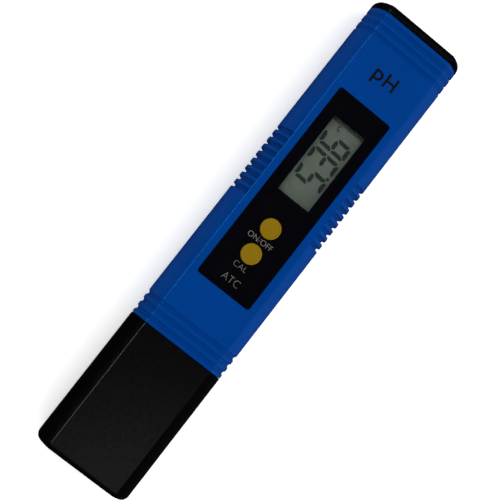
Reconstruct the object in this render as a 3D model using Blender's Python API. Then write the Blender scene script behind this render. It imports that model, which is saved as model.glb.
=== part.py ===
"""Pocket pH meter of the pen type, lying on its back with the display up.

Metres, +Z out of the display, +Y from the probe cap to the battery cap. The origin is the middle of the
rectangle that the meter covers on the table. A "station" is a distance along the meter from the tip of
the probe cap, and every length along the meter is given as one.
"""

import math

import bmesh
import bpy
from mathutils import Matrix, Vector

MM = 0.001

# Outer body: two flat lands, front and back, joined by round sides that meet them at a crease.
LENGTH = 155.4 * MM
WIDTH = 31 * MM
THICKNESS = 16 * MM
LAND_WIDTH = 22.5 * MM
WALL = 2.0 * MM
CLEARANCE = 0.3 * MM
SEAT_GAP = 0.1 * MM
MID_Z = THICKNESS / 2

# The side is a circular arc, upright at mid depth, that passes through the edge of each land.
SIDE_BULGE = (WIDTH - LAND_WIDTH) / 2
SIDE_R = (SIDE_BULGE**2 + MID_Z**2) / (2 * SIDE_BULGE)
SIDE_X = WIDTH / 2 - SIDE_R
ARC_STEPS = 5
INNER_STEPS = 3
PLUG_INSET = WALL + CLEARANCE

# Stations along the meter.
CAP_MOUTH = 42.65 * MM
CASE_START = 42.95 * MM
CASE_END = 152.7 * MM
BATTERY_CAP_START = 152.9 * MM
LOWER_GROOVES = [44.75 * MM, 47.3 * MM, 49.85 * MM]
UPPER_GROOVES = [145.6 * MM, 148.25 * MM, 150.7 * MM]
GROOVE_WIDTH = 1.4 * MM
GROOVE_DEPTH = 0.5 * MM
GRIP_COUNT = 9
GRIP_FIRST = 88.4 * MM
GRIP_PITCH = 2.53 * MM
GRIP_WIDTH = 1.45 * MM
GRIP_DEPTH = 0.75 * MM
GRIP_FADE = math.radians(10)
TRENCH_FLOOR_SHARE = 0.18
CASE_EDGE_LENGTH = 0.3 * MM
CASE_EDGE_INSET = 0.2 * MM

# How far a cutter runs past what it cuts.
PAST = MM

# The tongue of the rear case that closes the seam from inside.
SEAM_HALF_GAP = 0.1 * MM
TONGUE_HEIGHT = 1.2 * MM
TONGUE_INSET = 1.3 * MM
TONGUE_GAP = 0.2 * MM

# Front panel.
OVERLAY_START = 62.55 * MM
OVERLAY_END = 127.65 * MM
OVERLAY_WIDTH = 18.0 * MM
OVERLAY_CORNER = 0.9 * MM
OVERLAY_THICKNESS = 0.35 * MM
OVERLAY_RECESS = 0.35 * MM
WINDOW_START = 94.3 * MM
WINDOW_END = 120.3 * MM
WINDOW_WIDTH = 10.8 * MM
WINDOW_LEDGE = 0.8 * MM
WINDOW_THICKNESS = 0.9 * MM
BUTTON_R = 3.0 * MM
BUTTON_STATIONS = {"power": 84.1 * MM, "calibrate": 75.3 * MM}
BUTTON_PROUD = 0.5 * MM
BUTTON_FLANGE_R = 3.8 * MM
BUTTON_FLANGE = 0.8 * MM
BUTTON_CASE_GAP = 0.2 * MM
BUTTON_OVERLAY_GAP = 0.15 * MM
BUTTON_CROWN = [(0.25 * MM, 0.0), (0.07 * MM, 0.08 * MM), (0.0, 0.3 * MM)]

# Switches under the buttons.
PLUNGER_R = 1.7 * MM
PLUNGER_LENGTH = 1.5 * MM
SWITCH_HALF = 3 * MM
SWITCH_BELOW_PLUNGER = 0.6 * MM
SWITCH_WELL_R = 1.95 * MM
SWITCH_WELL_DEPTH = 2.2 * MM

# Display, from its front film down.
POLARIZER_THICKNESS = 0.2 * MM
GLASS_THICKNESS = 0.7 * MM
GLASS_OVERHANG = 1.6 * MM
FRONT_GLASS_HALF = 8.3 * MM
REAR_GLASS_HALF = 6.6 * MM
REFLECTOR_HALF = 6.5 * MM
REFLECTOR_THICKNESS = 0.2 * MM
ZEBRA_X = 7.5 * MM
ZEBRA_HALF = 0.6 * MM
FRAME_HALF = 9.6 * MM
FRAME_OVERHANG = 3 * MM
FRAME_TOP_DROP = 0.2 * MM
FRAME_BORE_HALF = 8.4 * MM
FRAME_BORE_OVERHANG = 1.7 * MM

# Circuit board and what stands on it.
BOARD_START = 57.5 * MM
BOARD_END = 129 * MM
BOARD_WIDTH = 21 * MM
BOARD_TOP = 9.8 * MM
BOARD_THICKNESS = 1.2 * MM
BOSS_X = 8.2 * MM
BOSS_STATIONS = [60.2 * MM, 125.8 * MM]
BOSS_R = 2.1 * MM
BOSS_BORE_R = 0.95 * MM
BOSS_ROOT = 0.5 * MM
BOSS_BORE_ROOF = 0.4 * MM
BOARD_HOLE_R = 1.1 * MM
SCREW_R = 0.85 * MM
SCREW_POINT_R = 0.2 * MM
SCREW_REACH = 2.6 * MM
SCREW_POINT = 0.7 * MM
SCREW_HEAD_R = 1.7 * MM
SCREW_CROWN_R = 1.2 * MM
SCREW_HEAD = MM
SCREW_RIM = 0.6 * MM

# Chips on the board's underside: half width, stations and x.
CHIP_HEIGHT = 1.5 * MM
CHIPS = {
    "controller_chip": (5 * MM, (98 * MM, 108 * MM), 0.0),
    "amplifier_chip": (2.5 * MM, (68 * MM, 72 * MM), -4 * MM),
    "memory_chip": (2.5 * MM, (113 * MM, 117 * MM), 4.5 * MM),
}
CAPACITOR_R = 2 * MM
CAPACITOR_HEIGHT = 3 * MM
CAPACITOR_X = 4.5 * MM
CAPACITOR_STATION = 70 * MM
CRYSTAL_R = MM
CRYSTAL_X = 5 * MM
CRYSTAL_START = 91 * MM
CRYSTAL_END = 96.2 * MM
CRYSTAL_DROP = 1.1 * MM
CAN_CHAMFER_LENGTH = 0.2 * MM
CAN_CHAMFER = 0.1 * MM

# Batteries: two 11.6 x 5.4 mm button cells side by side.
CELL_R = 5.8 * MM
CELL_HEIGHT = 5.4 * MM
CELL_X = 6.4 * MM
CELL_STATION = 138.6 * MM
HOLDER_START = 131 * MM
HOLDER_END = 145.6 * MM
HOLDER_HEIGHT = 8 * MM
HOLDER_HALF = 12.9 * MM
HOLDER_LAND_HALF = 11.9 * MM
HOLDER_SHOULDER = 1.6 * MM
POCKET_HEIGHT = 6.6 * MM
POCKET_GAP = 0.2 * MM

# The cell's profile: how far above its base and how far in from its side, then the same from its top.
CELL_FOOT = [(0.0, 1.3 * MM), (0.25 * MM, 0.5 * MM), (0.5 * MM, 0.0)]
CELL_RIM = 0.3 * MM

# Strip contacts over and under the cells.
CONTACT_GAP = 0.15 * MM
CONTACT_THICKNESS = 0.25 * MM
CONTACT_HALF_LENGTH = 4 * MM
CONTACT_HALF_WIDTH = 2.5 * MM
BRIDGE_OVERHANG = 3 * MM
BRIDGE_SLOT_HALF = 2.4 * MM

# Battery cap: a plug with a seal, under a shallow dome.
PLUG_END = 146.7 * MM
PLUG_TAPER = 0.6 * MM
PLUG_TAPER_INSET = 0.3 * MM
PLUG_WALL = 1.8 * MM
PLUG_HOLLOW_END = 152.6 * MM
SEAL_GROOVE = (149.0 * MM, 150.6 * MM)
SEAL_GROOVE_DEPTH = MM
SEAL_R = 0.5 * MM
DOME_START = 153.6 * MM
DOME_INSET = 1.3 * MM
DOME_STEPS = 6
CAP_EDGE = 0.2 * MM
CAP_EDGE_INSET = 0.15 * MM

# Probe cap: its rounded end, the floor of its hollow, and the sponge.
CAP_END_ROUND = 2.2 * MM
CAP_END_INSET = 1.7 * MM
CAP_END_STEPS = 5
CAP_FLOOR = 2.4 * MM
CAP_FLOOR_ROUND = 0.6 * MM
SPONGE_START = 3.2 * MM
SPONGE_END = 5.5 * MM
SPONGE_START_INSET = 2.5 * MM
SPONGE_END_INSET = 2.3 * MM

# Probe.
MOUNT_START = 33 * MM
MOUNT_END = 54.5 * MM
CAP_RING_STATION = 38 * MM
CASE_RING_STATION = 52.4 * MM
O_RING_R = 0.75 * MM
RING_SIDES = 6
RING_GROOVE_GAP = 0.1 * MM
RING_GROOVE_DEPTH = 1.4 * MM
MOUNT_TAPER = 0.7 * MM
BORE_GAP = 0.15 * MM
GUARD_START = 6.2 * MM
GUARD_END = 37 * MM
GUARD_R = 5.5 * MM
GUARD_BORE_R = 4.6 * MM
GUARD_EDGE = 0.5 * MM
GUARD_SLOT_HALF = 1.9 * MM
GUARD_SLOT_END = 18 * MM
TUBE_START = 19.5 * MM
TUBE_END = 55.5 * MM
TUBE_R = 4.1 * MM
TUBE_BORE_R = 3.3 * MM
TUBE_EDGE = 0.3 * MM
JUNCTION_INSET = 0.2 * MM
JUNCTION_LENGTH = 2.2 * MM
STOPPER_DEPTH = 3 * MM
STOPPER_PROUD = 1.5 * MM
STOPPER_EDGE = 0.2 * MM
WIRE_R = 0.3 * MM
REFERENCE_WIRE_X = 2.6 * MM
REFERENCE_WIRE_GAP = 2 * MM
STEM_R = 1.9 * MM
STEM_BORE_R = 1.5 * MM
BULB_R = 3.4 * MM
BULB_STATION = 11.6 * MM
BULB_WALL = 0.35 * MM
BULB_STEPS = 6
STEM_END = 51.5 * MM
SENSOR_X = 9.0 * MM
SENSOR_R = 1.5 * MM
SENSOR_START = 15 * MM
SENSOR_END = 56 * MM
SENSOR_WALL = 0.3 * MM
SENSOR_NOSE = MM
SENSOR_NOSE_SLOPE = 0.3 * MM
SENSOR_NOSE_SHARES = (0.35, 0.75)
SENSOR_FLOOR = 0.4 * MM
SENSOR_FLOOR_SHARE = 0.5
BEAD_STATION = 17.4 * MM
BEAD_R = 0.9 * MM
BEAD_HALF_LENGTH = 1.1 * MM
BEAD_STEPS = 6
LEAD_R = 0.5 * MM
ELECTRODE_LEAD_R = 0.6 * MM

PAINTS = {
    "blue_plastic": ((0.0, 0.07, 0.30), 0.35, 0.0),
    "black_plastic": ((0.012, 0.012, 0.013), 0.35, 0.0),
    "overlay_film": ((0.003, 0.003, 0.005), 0.2, 0.0),
    "yellow_plastic": ((0.60, 0.42, 0.01), 0.4, 0.0),
    "clear_plastic": ((0.85, 0.87, 0.85), 0.05, 0.0),
    "lcd_glass": ((0.22, 0.25, 0.19), 0.1, 0.0),
    "reflector_film": ((0.35, 0.37, 0.32), 0.5, 0.0),
    "white_plastic": ((0.75, 0.75, 0.72), 0.5, 0.0),
    "board_laminate": ((0.02, 0.16, 0.05), 0.45, 0.0),
    "chip_epoxy": ((0.02, 0.02, 0.02), 0.5, 0.0),
    "steel": ((0.6, 0.6, 0.6), 0.3, 1.0),
    "brass_plate": ((0.75, 0.6, 0.3), 0.35, 1.0),
    "silver_wire": ((0.8, 0.8, 0.78), 0.3, 1.0),
    "rubber": ((0.02, 0.02, 0.02), 0.8, 0.0),
    "zebra_rubber": ((0.55, 0.35, 0.4), 0.7, 0.0),
    "probe_glass": ((0.8, 0.9, 0.88), 0.03, 0.0),
    "epoxy_tube": ((0.62, 0.66, 0.64), 0.25, 0.0),
    "porous_ceramic": ((0.85, 0.83, 0.78), 0.9, 0.0),
    "red_wire": ((0.5, 0.02, 0.02), 0.5, 0.0),
    "black_wire": ((0.02, 0.02, 0.02), 0.5, 0.0),
    "sponge": ((0.7, 0.62, 0.4), 0.95, 0.0),
}


# ---- scene and material helpers -------------------------------------------------------------


def clear_scene():
    for obj in list(bpy.data.objects):
        bpy.data.objects.remove(obj)


def paint(obj, slot):
    """Gives an object the Principled material of that name."""
    material = bpy.data.materials.get(slot)
    if material is None:
        color, roughness, metallic = PAINTS[slot]
        material = bpy.data.materials.new(slot)
        material.use_nodes = True
        shader = material.node_tree.nodes["Principled BSDF"]
        shader.inputs["Base Color"].default_value = (*color, 1)
        shader.inputs["Roughness"].default_value = roughness
        shader.inputs["Metallic"].default_value = metallic
    obj.data.materials.append(material)
    return obj


def station_y(station):
    """The Y of a station, which is a distance from the probe cap's tip."""
    return station - LENGTH / 2


def make_object(name, bm, slot):
    """Turns a bmesh into a named object with outward faces, smooth apart from its sharp edges."""
    bmesh.ops.recalc_face_normals(bm, faces=bm.faces)
    mesh = bpy.data.meshes.new(name)
    bm.to_mesh(mesh)
    bm.free()
    mesh.shade_smooth()
    mesh.set_sharp_from_angle(angle=math.radians(30))
    obj = bpy.data.objects.new(name, mesh)
    bpy.context.scene.collection.objects.link(obj)
    return paint(obj, slot)


# ---- shape helpers --------------------------------------------------------------------------


def loft(name, rings, slot, closed=False):
    """Joins rings of points, all of one length, into a solid. A closed loft returns to its first ring."""
    bm = bmesh.new()
    loops = [[bm.verts.new(point) for point in ring] for ring in rings]
    count = len(rings[0])
    pairs = list(zip(loops, loops[1:]))
    if closed:
        pairs.append((loops[-1], loops[0]))
    for first, second in pairs:
        for i in range(count):
            j = (i + 1) % count
            bm.faces.new((first[i], first[j], second[j], second[i]))
    if not closed:
        bm.faces.new(loops[0])
        bm.faces.new(loops[-1])
    return make_object(name, bm, slot)


def side_points(inset, from_height, to_height, steps=ARC_STEPS):
    """(x, z) along the right-hand side at an inset from the skin, between two heights above mid depth."""
    radius = SIDE_R - inset
    start = math.asin(from_height / radius)
    stop = math.asin(to_height / radius)
    angles = [start + (stop - start) * i / steps for i in range(steps + 1)]
    return [(SIDE_X + radius * math.cos(a), MID_Z + radius * math.sin(a)) for a in angles]


def section_ring(inset, station):
    """The whole cross-section of the meter, inset from its skin, as a ring at a station."""
    land = MID_Z - inset
    right = side_points(inset, -land, land, 2 * ARC_STEPS)
    outline = right + [(-x, z) for x, z in reversed(right)]
    return [(x, station_y(station), z) for x, z in outline]


def move_origin(obj, point):
    """Puts a moving piece's origin on its joint's axis and leaves its shape where it is."""
    obj.data.transform(Matrix.Translation(-Vector(point)))
    obj.location = point


def section_loft(name, profile, slot, closed=False):
    """A piece with the meter's cross-section, from (station, inset) pairs."""
    return loft(name, [section_ring(inset, station) for station, inset in profile], slot, closed)


def disc_y(radius, station, x=0.0, z=MID_Z, sides=24):
    """A circle square to the meter's length."""
    angles = [2 * math.pi * i / sides for i in range(sides)]
    y = station_y(station)
    return [(x + radius * math.cos(a), y, z + radius * math.sin(a)) for a in angles]


def turned_y(name, profile, slot, x=0.0, sides=24, closed=False):
    """A piece turned about a line along the meter, from (station, radius) pairs."""
    return loft(name, [disc_y(r, s, x, MID_Z, sides) for s, r in profile], slot, closed)


def turned_z(name, profile, slot, x, station, sides=24):
    """A piece turned about an upright line, from (height, radius) pairs."""
    y = station_y(station)
    angles = [2 * math.pi * i / sides for i in range(sides)]
    rings = [[(x + r * math.cos(a), y + r * math.sin(a), z) for a in angles] for z, r in profile]
    return loft(name, rings, slot)


def block(name, half_width, stations, heights, slot, x=0.0):
    """A box given by its half width about x, its two stations and its two heights."""
    outline = [
        (x - half_width, station_y(stations[0])),
        (x + half_width, station_y(stations[0])),
        (x + half_width, station_y(stations[1])),
        (x - half_width, station_y(stations[1])),
    ]
    return loft(name, [[(px, py, z) for px, py in outline] for z in heights], slot)


def rounded_outline(width, stations, corner, steps=4):
    """The (x, y) outline of a rectangle with round corners."""
    low, high = station_y(stations[0]) + corner, station_y(stations[1]) - corner
    side = width / 2 - corner
    centres = [(side, high), (-side, high), (-side, low), (side, low)]
    points = []
    for quarter, (cx, cy) in enumerate(centres):
        for i in range(steps + 1):
            a = math.pi / 2 * (quarter + i / steps)
            points.append((cx + corner * math.cos(a), cy + corner * math.sin(a)))
    return points


def rounded_plate(name, width, stations, corner, heights, slot):
    outline = rounded_outline(width, stations, corner)
    return loft(name, [[(x, y, z) for x, y in outline] for z in heights], slot)


def boolean(target, tool, operation):
    """Cuts or adds a helper object, which stays out of the model."""
    tool.hide_render = True
    tool.display_type = "WIRE"
    modifier = target.modifiers.new(f"{operation.lower()} {tool.name}", "BOOLEAN")
    modifier.operation = operation
    modifier.solver = "EXACT"
    modifier.object = tool


def cut(target, tool):
    boolean(target, tool, "DIFFERENCE")


def add(target, tool):
    boolean(target, tool, "UNION")


def wire(name, points, radius, slot):
    """A lead: a round tube through points, read from a smooth curve through the route."""
    smooth = catmull_rom(points, steps=3)
    curve = bpy.data.curves.new(name, "CURVE")
    curve.dimensions = "3D"
    curve.bevel_depth = radius
    curve.bevel_resolution = 2
    curve.use_fill_caps = True
    spline = curve.splines.new("POLY")
    spline.points.add(len(smooth) - 1)
    for target, (x, y, z) in zip(spline.points, smooth):
        target.co = (x, y, z, 1)
    obj = bpy.data.objects.new(name, curve)
    bpy.context.scene.collection.objects.link(obj)
    return paint(obj, slot)


def catmull_rom(points, steps):
    """Points along a Catmull-Rom curve through the given ones."""
    padded = [points[0], *points, points[-1]]
    out = []
    for p0, p1, p2, p3 in zip(padded, padded[1:], padded[2:], padded[3:]):
        for i in range(steps):
            t = i / steps
            out.append(
                tuple(
                    0.5
                    * (
                        2 * b
                        + (c - a) * t
                        + (2 * a - 5 * b + 4 * c - d) * t * t
                        + (3 * b - a - 3 * c + d) * t**3
                    )
                    for a, b, c, d in zip(p0, p1, p2, p3)
                )
            )
    return [*out, tuple(points[-1])]


# ---- case -----------------------------------------------------------------------------------


def case_stations():
    """(station, ring groove depth, grip depth) for every ring of a case shell, in order."""
    rows = [(CASE_START, CASE_EDGE_INSET, 0), (CASE_START + CASE_EDGE_LENGTH, 0, 0)]
    for centre in LOWER_GROOVES + UPPER_GROOVES:
        rows += trench(centre, GROOVE_WIDTH, GROOVE_DEPTH, is_grip=False)
    for i in range(GRIP_COUNT):
        rows += trench(GRIP_FIRST + i * GRIP_PITCH, GRIP_WIDTH, GRIP_DEPTH, is_grip=True)
    rows += [(CASE_END - CASE_EDGE_LENGTH, 0, 0), (CASE_END, CASE_EDGE_INSET, 0)]
    return sorted(rows)


def trench(centre, width, depth, is_grip):
    """The four rings of one groove: its two edges and the two sides of its floor."""
    floor = TRENCH_FLOOR_SHARE * width
    rows = [(-width / 2, 0), (-floor, depth), (floor, depth), (width / 2, 0)]
    return [(centre + offset, 0, d) if is_grip else (centre + offset, d, 0) for offset, d in rows]


def outer_side(groove, grip, start_height):
    """(x, z) up the right-hand skin from start_height to the land, sunk by a ring groove or a grip."""
    points = []
    for x, z in side_points(groove, start_height, MID_Z - groove):
        angle = math.atan2(z - MID_Z, x - SIDE_X)
        crease = math.asin(MID_Z / SIDE_R)
        share = min(1.0, max(0.0, (crease - abs(angle)) / GRIP_FADE))
        sink = grip * share
        points.append((x - sink * math.cos(angle), z - sink * math.sin(angle)))
    return points


def half_outline(right_hand):
    """Closes a half section by mirroring its right-hand path of (x, z), outside first."""
    outer, inner = right_hand
    left_outer = [(-x, z) for x, z in reversed(outer)]
    left_inner = [(-x, z) for x, z in inner]
    return outer + left_outer + left_inner + list(reversed(inner))


def front_ring(station, groove, grip):
    """One ring of the front case, with the rabbet that takes the rear case's tongue."""
    outer = outer_side(groove, grip, SEAM_HALF_GAP)
    rabbet_inset = TONGUE_INSET - TONGUE_GAP
    rabbet_top = TONGUE_HEIGHT + TONGUE_GAP
    inner = [
        *side_points(rabbet_inset, SEAM_HALF_GAP, rabbet_top, 1),
        *side_points(WALL, rabbet_top, MID_Z - WALL, INNER_STEPS),
    ]
    return [(x, station_y(station), z) for x, z in half_outline((outer, inner))]


def rear_ring(station, groove, grip):
    """One ring of the rear case, with the tongue that rises inside the front case."""
    outer = outer_side(groove, grip, SEAM_HALF_GAP)
    inner = [
        *side_points(TONGUE_INSET, SEAM_HALF_GAP, -TONGUE_HEIGHT, 1),
        *side_points(WALL, -TONGUE_HEIGHT, MID_Z - WALL, INNER_STEPS),
    ]
    outline = half_outline((outer, inner))
    return [(x, station_y(station), THICKNESS - z) for x, z in outline]


def build_front_case():
    rings = [front_ring(*row) for row in case_stations()]
    case = loft("front_case", rings, "blue_plastic")
    inner_z = THICKNESS - WALL
    foot = BOARD_TOP + SEAT_GAP
    for side in (-1, 1):
        for i, station in enumerate(BOSS_STATIONS):
            x = side * BOSS_X
            post_profile = [(foot, BOSS_R), (inner_z + BOSS_ROOT, BOSS_R)]
            post = turned_z(f"boss_tool_{side}_{i}", post_profile, "blue_plastic", x, station, 16)
            add(case, post)
            bore_profile = [(foot - PAST, BOSS_BORE_R), (inner_z - BOSS_BORE_ROOF, BOSS_BORE_R)]
            bore = turned_z(f"boss_bore_tool_{side}_{i}", bore_profile, "blue_plastic", x, station, 12)
            cut(case, bore)
    recess = rounded_plate(
        "overlay_recess_tool",
        OVERLAY_WIDTH + 2 * SEAT_GAP,
        (OVERLAY_START - SEAT_GAP, OVERLAY_END + SEAT_GAP),
        OVERLAY_CORNER,
        (THICKNESS - OVERLAY_RECESS, THICKNESS + PAST),
        "blue_plastic",
    )
    cut(case, recess)
    through = (inner_z - PAST, THICKNESS + PAST)
    window_half = WINDOW_WIDTH / 2 + WINDOW_LEDGE
    span = (WINDOW_START - WINDOW_LEDGE, WINDOW_END + WINDOW_LEDGE)
    cut(case, block("window_tool", window_half, span, through, "blue_plastic"))
    for key, station in BUTTON_STATIONS.items():
        hole_profile = [(z, BUTTON_R + BUTTON_CASE_GAP) for z in through]
        cut(case, turned_z(f"{key}_hole_tool", hole_profile, "blue_plastic", 0, station))


def build_rear_case():
    rings = [rear_ring(*row) for row in case_stations()]
    loft("rear_case", rings, "blue_plastic")


# ---- front panel, display and buttons -------------------------------------------------------


def build_overlay():
    base = THICKNESS - OVERLAY_RECESS + SEAT_GAP
    overlay = rounded_plate(
        "front_overlay",
        OVERLAY_WIDTH,
        (OVERLAY_START, OVERLAY_END),
        OVERLAY_CORNER,
        (base, base + OVERLAY_THICKNESS),
        "overlay_film",
    )
    through = (base - PAST, base + PAST)
    span = (WINDOW_START, WINDOW_END)
    cut(overlay, block("overlay_window_tool", WINDOW_WIDTH / 2, span, through, "overlay_film"))
    for key, station in BUTTON_STATIONS.items():
        hole_profile = [(z, BUTTON_R + BUTTON_OVERLAY_GAP) for z in through]
        cut(overlay, turned_z(f"{key}_overlay_tool", hole_profile, "overlay_film", 0, station))


def build_window():
    top = THICKNESS - OVERLAY_RECESS
    ledge = WINDOW_LEDGE - SEAT_GAP
    span = (WINDOW_START - ledge, WINDOW_END + ledge)
    heights = (top - WINDOW_THICKNESS, top)
    block("display_window", WINDOW_WIDTH / 2 + ledge, span, heights, "clear_plastic")


def build_display():
    """The liquid-crystal cell and its carrier, from the front polariser down to the board."""
    ledge = WINDOW_LEDGE - SEAT_GAP
    ledge_span = (WINDOW_START - ledge, WINDOW_END + ledge)
    inner_z = THICKNESS - WALL
    film = (inner_z + SEAT_GAP, inner_z + SEAT_GAP + POLARIZER_THICKNESS)
    block("lcd_front_polarizer", WINDOW_WIDTH / 2 + ledge, ledge_span, film, "lcd_glass")
    span = (WINDOW_START - GLASS_OVERHANG, WINDOW_END + GLASS_OVERHANG)
    front_top = inner_z - SEAT_GAP
    rear_top = front_top - GLASS_THICKNESS - SEAT_GAP
    film_top = rear_top - GLASS_THICKNESS - SEAT_GAP
    front_heights = (front_top - GLASS_THICKNESS, front_top)
    block("lcd_front_glass", FRONT_GLASS_HALF, span, front_heights, "lcd_glass")
    rear_heights = (rear_top - GLASS_THICKNESS, rear_top)
    block("lcd_rear_glass", REAR_GLASS_HALF, span, rear_heights, "lcd_glass")
    film_heights = (film_top - REFLECTOR_THICKNESS, film_top)
    block("lcd_reflector", REFLECTOR_HALF, span, film_heights, "reflector_film")
    foot = BOARD_TOP + SEAT_GAP
    strip_heights = (foot, front_top - GLASS_THICKNESS - SEAT_GAP)
    window_span = (WINDOW_START, WINDOW_END)
    for side, label in ((-1, "left"), (1, "right")):
        x = side * ZEBRA_X
        block(f"zebra_strip_{label}", ZEBRA_HALF, window_span, strip_heights, "zebra_rubber", x)
    frame_span = (WINDOW_START - FRAME_OVERHANG, WINDOW_END + FRAME_OVERHANG)
    frame_heights = (foot, front_top - FRAME_TOP_DROP)
    frame = block("lcd_frame", FRAME_HALF, frame_span, frame_heights, "white_plastic")
    bore_span = (WINDOW_START - FRAME_BORE_OVERHANG, WINDOW_END + FRAME_BORE_OVERHANG)
    through = (BOARD_TOP - PAST, front_top + PAST)
    cut(frame, block("lcd_frame_tool", FRAME_BORE_HALF, bore_span, through, "white_plastic"))


def build_buttons():
    """Each button cap with its flange, and the plunger of the switch that it presses."""
    flange_top = THICKNESS - WALL - CLEARANCE
    cap_top = THICKNESS - OVERLAY_RECESS + SEAT_GAP + OVERLAY_THICKNESS + BUTTON_PROUD
    plunger_top = flange_top - BUTTON_FLANGE - CLEARANCE
    for key, station in BUTTON_STATIONS.items():
        profile = [
            (flange_top - BUTTON_FLANGE, BUTTON_FLANGE_R),
            (flange_top, BUTTON_FLANGE_R),
            (flange_top, BUTTON_R),
        ]
        profile += [(cap_top - drop, BUTTON_R - inset) for drop, inset in BUTTON_CROWN]
        button = turned_z(f"{key}_button", profile, "yellow_plastic", 0, station)
        move_origin(button, (0, station_y(station), flange_top))
        stem = [(plunger_top - PLUNGER_LENGTH, PLUNGER_R), (plunger_top, PLUNGER_R)]
        plunger = turned_z(f"{key}_plunger", stem, "black_plastic", 0, station, 16)
        move_origin(plunger, (0, station_y(station), plunger_top))
        span = (station - SWITCH_HALF, station + SWITCH_HALF)
        heights = (BOARD_TOP + SEAT_GAP, plunger_top - SWITCH_BELOW_PLUNGER)
        body = block(f"{key}_switch", SWITCH_HALF, span, heights, "steel")
        well_heights = (plunger_top - SWITCH_WELL_DEPTH, plunger_top + PAST)
        well_profile = [(z, SWITCH_WELL_R) for z in well_heights]
        cut(body, turned_z(f"{key}_switch_tool", well_profile, "steel", 0, station, 16))


# ---- circuit board --------------------------------------------------------------------------


def build_board():
    bottom = BOARD_TOP - BOARD_THICKNESS
    heights = (bottom, BOARD_TOP)
    board = block("circuit_board", BOARD_WIDTH / 2, (BOARD_START, BOARD_END), heights, "board_laminate")
    seat = bottom - SEAT_GAP
    screw_profile = [
        (seat - SCREW_HEAD, SCREW_CROWN_R),
        (seat - SCREW_RIM, SCREW_HEAD_R),
        (seat, SCREW_HEAD_R),
        (seat, SCREW_R),
        (BOARD_TOP + SCREW_REACH, SCREW_R),
        (BOARD_TOP + SCREW_REACH + SCREW_POINT, SCREW_POINT_R),
    ]
    hole_profile = [(bottom - PAST, BOARD_HOLE_R), (BOARD_TOP + PAST, BOARD_HOLE_R)]
    number = 0
    for station in BOSS_STATIONS:
        for side in (-1, 1):
            number += 1
            x = side * BOSS_X
            name = f"board_hole_tool_{number}"
            cut(board, turned_z(name, hole_profile, "board_laminate", x, station, 16))
            turned_z(f"board_screw_{number}", screw_profile, "steel", x, station, 12)
    for name, (half_width, stations, x) in CHIPS.items():
        block(name, half_width, stations, (seat - CHIP_HEIGHT, seat), "chip_epoxy", x)
    can = [
        (seat - CAPACITOR_HEIGHT, CAPACITOR_R - CAN_CHAMFER),
        (seat - CAPACITOR_HEIGHT + CAN_CHAMFER_LENGTH, CAPACITOR_R),
        (seat, CAPACITOR_R),
    ]
    turned_z("filter_capacitor", can, "steel", CAPACITOR_X, CAPACITOR_STATION, 16)
    crystal = [
        (CRYSTAL_START, CRYSTAL_R - CAN_CHAMFER),
        (CRYSTAL_START + CAN_CHAMFER_LENGTH, CRYSTAL_R),
        (CRYSTAL_END - CAN_CHAMFER_LENGTH, CRYSTAL_R),
        (CRYSTAL_END, CRYSTAL_R - CAN_CHAMFER),
    ]
    rings = [disc_y(r, s, CRYSTAL_X, seat - CRYSTAL_DROP, 12) for s, r in crystal]
    loft("quartz_crystal", rings, "steel")


# ---- batteries ------------------------------------------------------------------------------


def build_batteries():
    low, high = MID_Z - HOLDER_HEIGHT / 2, MID_Z + HOLDER_HEIGHT / 2
    right = [
        (HOLDER_LAND_HALF, low),
        (HOLDER_HALF, MID_Z - HOLDER_SHOULDER),
        (HOLDER_HALF, MID_Z + HOLDER_SHOULDER),
        (HOLDER_LAND_HALF, high),
    ]
    outline = right + [(-x, z) for x, z in reversed(right)]
    rings = [[(x, station_y(s), z) for x, z in outline] for s in (HOLDER_START, HOLDER_END)]
    holder = loft("battery_holder", rings, "black_plastic")
    pocket = (MID_Z - POCKET_HEIGHT / 2, MID_Z + POCKET_HEIGHT / 2)
    pocket_r = CELL_R + POCKET_GAP
    mouth_span = (CELL_STATION, HOLDER_END + PAST)
    base, top = MID_Z - CELL_HEIGHT / 2, MID_Z + CELL_HEIGHT / 2
    profile = [(base + rise, CELL_R - inset) for rise, inset in CELL_FOOT]
    profile += [(top - CELL_RIM, CELL_R), (top, CELL_R - CELL_RIM)]
    for side, label in ((-1, "left"), (1, "right")):
        x = side * CELL_X
        well_profile = [(z, pocket_r) for z in pocket]
        well = turned_z(f"cell_well_tool_{label}", well_profile, "black_plastic", x, CELL_STATION)
        mouth = block(f"cell_mouth_tool_{label}", pocket_r, mouth_span, pocket, "black_plastic", x)
        cut(holder, well)
        cut(holder, mouth)
        turned_z(f"battery_cell_{label}", profile, "steel", x, CELL_STATION)
    build_contacts(holder, base, top)


def build_contacts(holder, base, top):
    """Strip contacts over and under the cells, and the slot in the holder that passes the bridge."""
    span = (CELL_STATION - CONTACT_HALF_LENGTH, CELL_STATION + CONTACT_HALF_LENGTH)
    under = (base - CONTACT_GAP - CONTACT_THICKNESS, base - CONTACT_GAP)
    over = (top + CONTACT_GAP, top + CONTACT_GAP + CONTACT_THICKNESS)
    slot_span = (span[0] - CLEARANCE, HOLDER_END + PAST)
    slot_heights = (MID_Z - POCKET_HEIGHT / 2, under[1] + POCKET_GAP)
    cut(holder, block("bridge_slot_tool", BRIDGE_SLOT_HALF, slot_span, slot_heights, "black_plastic"))
    block("cell_bridge", CELL_X + BRIDGE_OVERHANG, span, under, "brass_plate")
    for side, label in ((-1, "positive"), (1, "negative")):
        block(f"{label}_contact", CONTACT_HALF_WIDTH, span, over, "brass_plate", side * CELL_X)


def quarter_steps(steps):
    """(sine, one minus cosine) over a quarter turn, for rounding an end over, without its start."""
    angles = [math.pi / 2 * i / steps for i in range(1, steps + 1)]
    return [(math.sin(a), 1 - math.cos(a)) for a in angles]


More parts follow.
